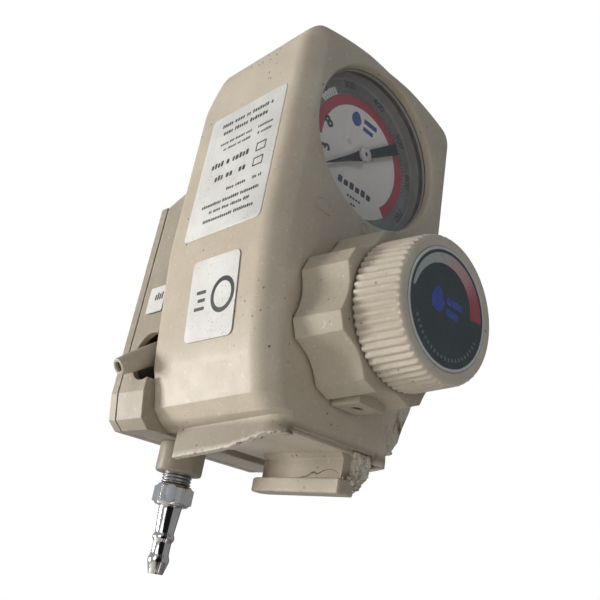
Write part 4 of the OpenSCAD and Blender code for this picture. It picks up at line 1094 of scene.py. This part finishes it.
# ------------------------------------------------------------------ hanger, port and outlet
RAIL_X, RAIL_TOP = 10, -9.5                   # middle of the rail's web and top of its foot


def bottle_hanger():
    """Base, web and foot of the bottle rail, with the remains of its broken front stop."""
    low = height_of("bottle_hanger", 0)
    base_outline = round_rect(-HANGER_HALF_W, HANGER_HALF_W, 2.8, 50, 1.2, 4)
    base = add("hanger_base", *loft([[(x, y, z) for x, y in base_outline] for z in (-1.2, 6.4)]),
               MATERIALS["cream_lit_copy"], replaces=["bottle_hanger"])
    soften(base, 0.4)
    turned_down("hanger_hole", [(2.1, 0.38), (2.2, 0.35), (2.3, 0.38), (2.3, 0.5)], MATERIALS["hole_shade"],
                (-2.6, 9), 32, slot="cream_abs")
    section = [(-5.6, 1.2), (-5.5, 0.45), (-2.8, -2.7), (-2.62, -3.1), (-2.6, RAIL_TOP - 0.4),
               (2.6, RAIL_TOP - 0.4), (2.62, -3.1), (2.8, -2.7), (5.5, 0.45), (5.6, 1.2)]
    rings = [[(RAIL_X + x, 3.7 + 37.3 * k / 24 + 0.35 * noise.noise(Vector((x, z, 2))) * (k == 0), z)
              for x, z in section] for k in range(25)]
    add("hanger_web", *loft(rings), MATERIALS["cream_shaded_hanger"], smooth=24)
    rings = []
    for z, inset, cut in ((low, 0.5, 2.6), (low + 0.15, 0.2, 2.3), (low + 0.5, 0.0, 1.9), (low + 2.2, 0.0, 0.0),
                          (RAIL_TOP - 0.4, 0.0, 0.0), (RAIL_TOP - 0.1, 0.15, 0.1), (RAIL_TOP, 0.4, 0.3)):
        x0, x1 = RAIL_X - 5.6 + inset, RAIL_X + 4 - inset - cut
        rings.append([(x, y, z) for x, y in
                      ((x0, 1.9), (x0 + 0.5, 1.4 + inset), (RAIL_X + 1, 1.4 + inset), (x1, 4.4), (x1, 40),
                       (x1 - 1.5, 43.4 - inset), (x0 + 1.3, 43.4 - inset), (x0, 40.6))])
    add("hanger_foot", *loft(rings), MATERIALS["cream_shaded_hanger"], smooth=24)
    hanger_crack()
    broken_stop()


def hanger_crack():
    """Dark crack that wanders along the web above the foot."""
    x = RAIL_X - 2.62
    line = ((26, -9.2), (22, -8.9), (19.5, -8.6), (18.1, -8.1), (16.8, -7.3), (15.7, -7.2), (14.6, -7.7),
            (13.6, -7.5), (12.0, -6.8), (10.3, -6.4), (8.8, -6.3), (7.6, -6.5), (6.3, -6.9), (5.1, -7.5))
    rings = []
    for i, (y, z) in enumerate(line):
        half = 0.09 + 0.17 * math.sin(math.pi * min(1.0, i / 9)) ** 0.5
        rings.append([(x + dx, y, z + half * dz) for dx, dz in ((0.03, -1), (-0.03, -0.8), (-0.03, 0.8), (0.03, 1))])
    add("hanger_crack", *loft(rings), MATERIALS["hole_shade"], slot="cream_abs")


def broken_stop():
    """Splintered plate left of the hanger's front stop, narrow at its foot, and a few crumbs."""
    rng = random.Random(8)
    left = ((10.2, -0.2), (10.5, -2.8), (11.0, -5.2), (11.3, -7.6), (10.6, -9.4), (9.8, -11.2), (9.4, -12.9))
    right = ((18.5, -0.2), (18.4, -2.8), (18.0, -4.6), (16.8, -6.6), (15.2, -9.0), (13.6, -11.0), (11.4, -12.9))
    rows, cols = 26, 16

    def along(line, t):
        k = min(int(t * 6), 5)
        (x0, z0), (x1, z1) = line[k], line[k + 1]
        return x0 + (x1 - x0) * (t * 6 - k), z0 + (z1 - z0) * (t * 6 - k)

    rings = []
    for i in range(rows + 1):
        (xa, z), (xb, _) = along(left, i / rows), along(right, i / rows)
        xa, xb = xa + rng.uniform(-0.3, 0.3), xb + rng.uniform(-0.35, 0.35)
        front = []
        for k in range(cols + 1):
            x = xa + (xb - xa) * k / cols
            ridge = noise.noise(Vector((x * 1.5, z * 0.3, 5))) * 0.9 + noise.noise(Vector((x * 2.8, z * 2.6, 1))) * 0.4
            front.append((x, 1.7 - ridge + 0.5 * (i == rows), z + 0.25 * noise.noise(Vector((x, z, 7)))))
        rings.append(front + [(xb, 4.3, z), (xa, 4.3, z)])
    stop = add("hanger_stop", *loft(rings), MATERIALS["cream_shaded_hanger"], smooth=24)
    wear(stop, lambda p: 0.8 if p.y < 3 else 0.4)
    for k, (x, y, z, r) in enumerate(((8.8, 1.9, -9.0, 0.7), (9.9, 1.3, -9.9, 0.8), (7.6, 3.0, -9.0, 0.45),
                                      (11.8, 1.2, -10.9, 0.6), (12.8, 1.4, -8.6, 0.6))):
        crumb(f"hanger_crumb_{k}", Vector((x, y, z)), r, k)


def crumb(name, centre, r, seed):
    """A small angular crumb of broken plastic."""
    rings = []
    for i in range(1, 8):
        a = math.pi * i / 8
        ring = []
        for k in range(10):
            b = 2 * math.pi * k / 10
            d = Vector((math.sin(a) * math.cos(b), math.sin(a) * math.sin(b), math.cos(a)))
            ring.append(tuple(centre + d * r * (1 + 0.7 * noise.noise(d * 1.7 + Vector((seed, 2, 3))))))
        rings.append(ring)
    wear(add(name, *loft(rings), MATERIALS["cream_shaded_hanger"], smooth=15), lambda p: 0.7)


def side_port():
    """Tapered cream nipple with a bore, tilted down at the left side."""
    tilt = math.radians(36)
    tip = Vector((-44.3, 63.5, 16.1))
    out = Vector((-math.cos(tilt), 0, -math.sin(tilt)))
    side = Vector((0, 1, 0))
    up = out.cross(side)
    profile = [(2.45, -26), (4.2, -24), (3.42, -4), (3.3, -3.6), (2.95, -0.5), (2.85, -0.12), (2.6, 0.0), (2.0, 0.0),
               (1.78, -0.2), (1.7, -0.6), (1.7, -9)]
    rings = [[tuple(tip + out * h + r * (math.cos(a) * side + math.sin(a) * up))
              for a in (2 * math.pi * k / 48 for k in range(48))] for r, h in profile]
    add("port_nipple", *loft(rings), MATERIALS["cream_shaded_controls"], replaces=["side_port"], smooth=30)
    bore = [[tuple(tip + out * h + r * (math.cos(a) * side + math.sin(a) * up))
             for a in (2 * math.pi * k / 32 for k in range(32))] for r, h in ((1.72, -1.6), (1.72, -1.2), (1.2, -1.15))]
    add("port_bore", *loft(bore), MATERIALS["hole_shade"], slot="cream_abs")


OUTLET = (-10.5, 65)


def outlet():
    """Moulded boss, dark sealed thread and the chromed hose barb."""
    low = height_of("outlet_boss", 0)
    turned_down("outlet_moulding", [(7.4, -1.9), (8.2, -2.1), (8.2, -2.6), (8.15, -11.2), (8.0, -11.75), (7.6, -12.0),
                                    (5.3, -12.0), (5.1, -11.8), (5.0, -10.0)], MATERIALS["cream_abs"], OUTLET,
                replaces=["outlet_boss"])
    thread = []
    for k in range(4):
        thread += [(4.72, -11.5 - 1.1 * k), (5.14, -11.8 - 1.1 * k), (5.14, -12.05 - 1.1 * k), (4.72, -12.35 - 1.1 * k)]
    turned_down("outlet_thread", [(4.6, -11.4)] + thread + [(4.6, -16.05)], MATERIALS["dark_thread"], OUTLET,
                replaces=["barb_seal"], smooth=60)
    profile = [(4.9, -15.9), (5.5, -15.95), (5.85, -16.25), (5.97, -16.6), (6.0, -17.0), (6.0, -21.9), (5.97, -22.3),
               (5.7, -22.8), (5.2, -23.0), (4.1, -23.05), (3.95, -23.4), (3.9, -24.2), (3.55, -28.0), (3.25, -31.6),
               (3.3, -32.1), (3.62, -32.8), (3.72, -33.3), (3.66, -33.9), (3.2, -34.6), (3.08, -35.0), (3.08, -38.4),
               (3.2, -39.0), (3.58, -40.0), (3.62, -40.7), (3.5, -41.4), (2.9, -43.4), (2.55, -44.7), (2.35, -45.0),
               (1.9, -45.0), (1.7, -44.7), (1.7, -38)]
    turned_down("barb_fitting", profile, MATERIALS["chrome_plate"], OUTLET, 96, flats=(4, 5),
                replaces=["hose_barb"], smooth=32)


# ------------------------------------------------------------------ stage
def soft_light(name, place, aim, size, power, colour=(1, 1, 1)):
    light = bpy.data.lights.new(name, "AREA")
    light.shape = "DISK"
    light.size = size
    light.energy = power
    light.color = colour
    lamp = bpy.data.objects.new(name, light)
    bpy.context.scene.collection.objects.link(lamp)
    lamp.location = place
    lamp.rotation_euler = (Vector(aim) - Vector(place)).to_track_quat("-Z", "Y").to_euler()


def stage():
    """Plain pale floor and even studio light, with the key light low on the left."""
    floor_z = -0.40
    mesh = bpy.data.meshes.new("floor")
    mesh.from_pydata([(-1.1, -1.1, floor_z), (1.1, -1.1, floor_z), (1.1, 0.8, floor_z), (-1.1, 0.8, floor_z)], [], [(0, 1, 2, 3)])
    floor = bpy.data.objects.new("floor", mesh)
    bpy.context.scene.collection.objects.link(floor)
    s = Shader("studio_floor", "cream_abs")
    seen_directly = s.node("ShaderNodeLightPath").outputs["Is Camera Ray"]
    s.set(Base_Color=(0.82, 0.81, 0.80, 1.0), Roughness=0.9, Emission_Color=(0.82, 0.81, 0.80, 1.0),
          Emission_Strength=s.math("MULTIPLY", seen_directly, 0.5))
    mesh.materials.append(s.material)
    world = bpy.data.worlds.new("studio")
    bpy.context.scene.world = world
    world.use_nodes = True
    tree = world.node_tree
    sky = tree.nodes["Background"]
    sky.inputs["Color"].default_value = (0.80, 0.90, 1.0, 1.0)
    seen = tree.nodes.new("ShaderNodeBackground")
    seen.inputs["Color"].default_value = (1, 1, 1, 1)
    seen.inputs["Strength"].default_value = 1.0
    ray = tree.nodes.new("ShaderNodeLightPath")
    pick = tree.nodes.new("ShaderNodeMixShader")
    shiny = tree.nodes.new("ShaderNodeMath")
    shiny.operation = "MULTIPLY_ADD"
    shiny.inputs[1].default_value = 0.30
    shiny.inputs[2].default_value = 0.115
    tree.links.new(ray.outputs["Is Glossy Ray"], shiny.inputs[0])
    tree.links.new(shiny.outputs[0], sky.inputs["Strength"])
    tree.links.new(ray.outputs["Is Camera Ray"], pick.inputs["Fac"])
    tree.links.new(sky.outputs[0], pick.inputs[1])
    tree.links.new(seen.outputs[0], pick.inputs[2])
    tree.links.new(pick.outputs[0], tree.nodes["World Output"].inputs["Surface"])
    soft_light("key", (-0.64, 0.70, -0.11), (0, 0, 0), 0.34, 8.2, (1.0, 0.985, 0.965))
    soft_light("side", (-0.95, -0.25, 0.10), (0, -0.05, 0), 0.6, 1.85, (1.0, 0.985, 0.97))
    soft_light("top", (-0.5, 0.3, 0.9), (0, 0, 0.03), 0.7, 1.3)
    soft_light("front", (0.2, -0.8, 0.75), (0, -0.05, 0.02), 0.25, 1.15, (0.80, 0.91, 1.0))
    soft_light("below", (-0.1, -0.35, -0.36), (0, 0, 0), 0.4, 0.5, (1.0, 0.96, 0.92))
    bpy.context.scene.view_settings.view_transform = "Standard"


def camera():
    """Close view from the lower left, rolled a little, like the photograph."""
    place, aim = Vector((-0.1545, -0.2308, -0.0850)), Vector((0.0002, -0.054, 0.0134))
    data = bpy.data.cameras.new("view")
    data.sensor_width = 36
    data.lens = 42.99
    data.shift_x = -0.019
    data.shift_y = -0.0137
    data.clip_start = 0.01
    cam = bpy.data.objects.new("view", data)
    bpy.context.scene.collection.objects.link(cam)
    turn = (aim - place).to_track_quat("-Z", "Y").to_matrix().to_4x4()
    cam.matrix_world = Matrix.Translation(place) @ turn @ Matrix.Rotation(math.radians(9.9), 4, "Z")
    bpy.context.scene.camera = cam


dress_cad_nodes()
front_cover()
panel_marks()
selector_collar()
selector_lug()
adjust_knob()
knob_disc()
knob_emblem()
coil_spring("range_spring_coil", "range_spring", 7.4, 0.75, 4)
coil_spring("poppet_spring_coil", "poppet_spring", 3.0, 0.3, 3)
diaphragm()
bezel()
dial()
dial_screws()
pointer()
nameplate()
approval_label()
port_label()
bottle_hanger()
side_port()
outlet()
stage()
camera()
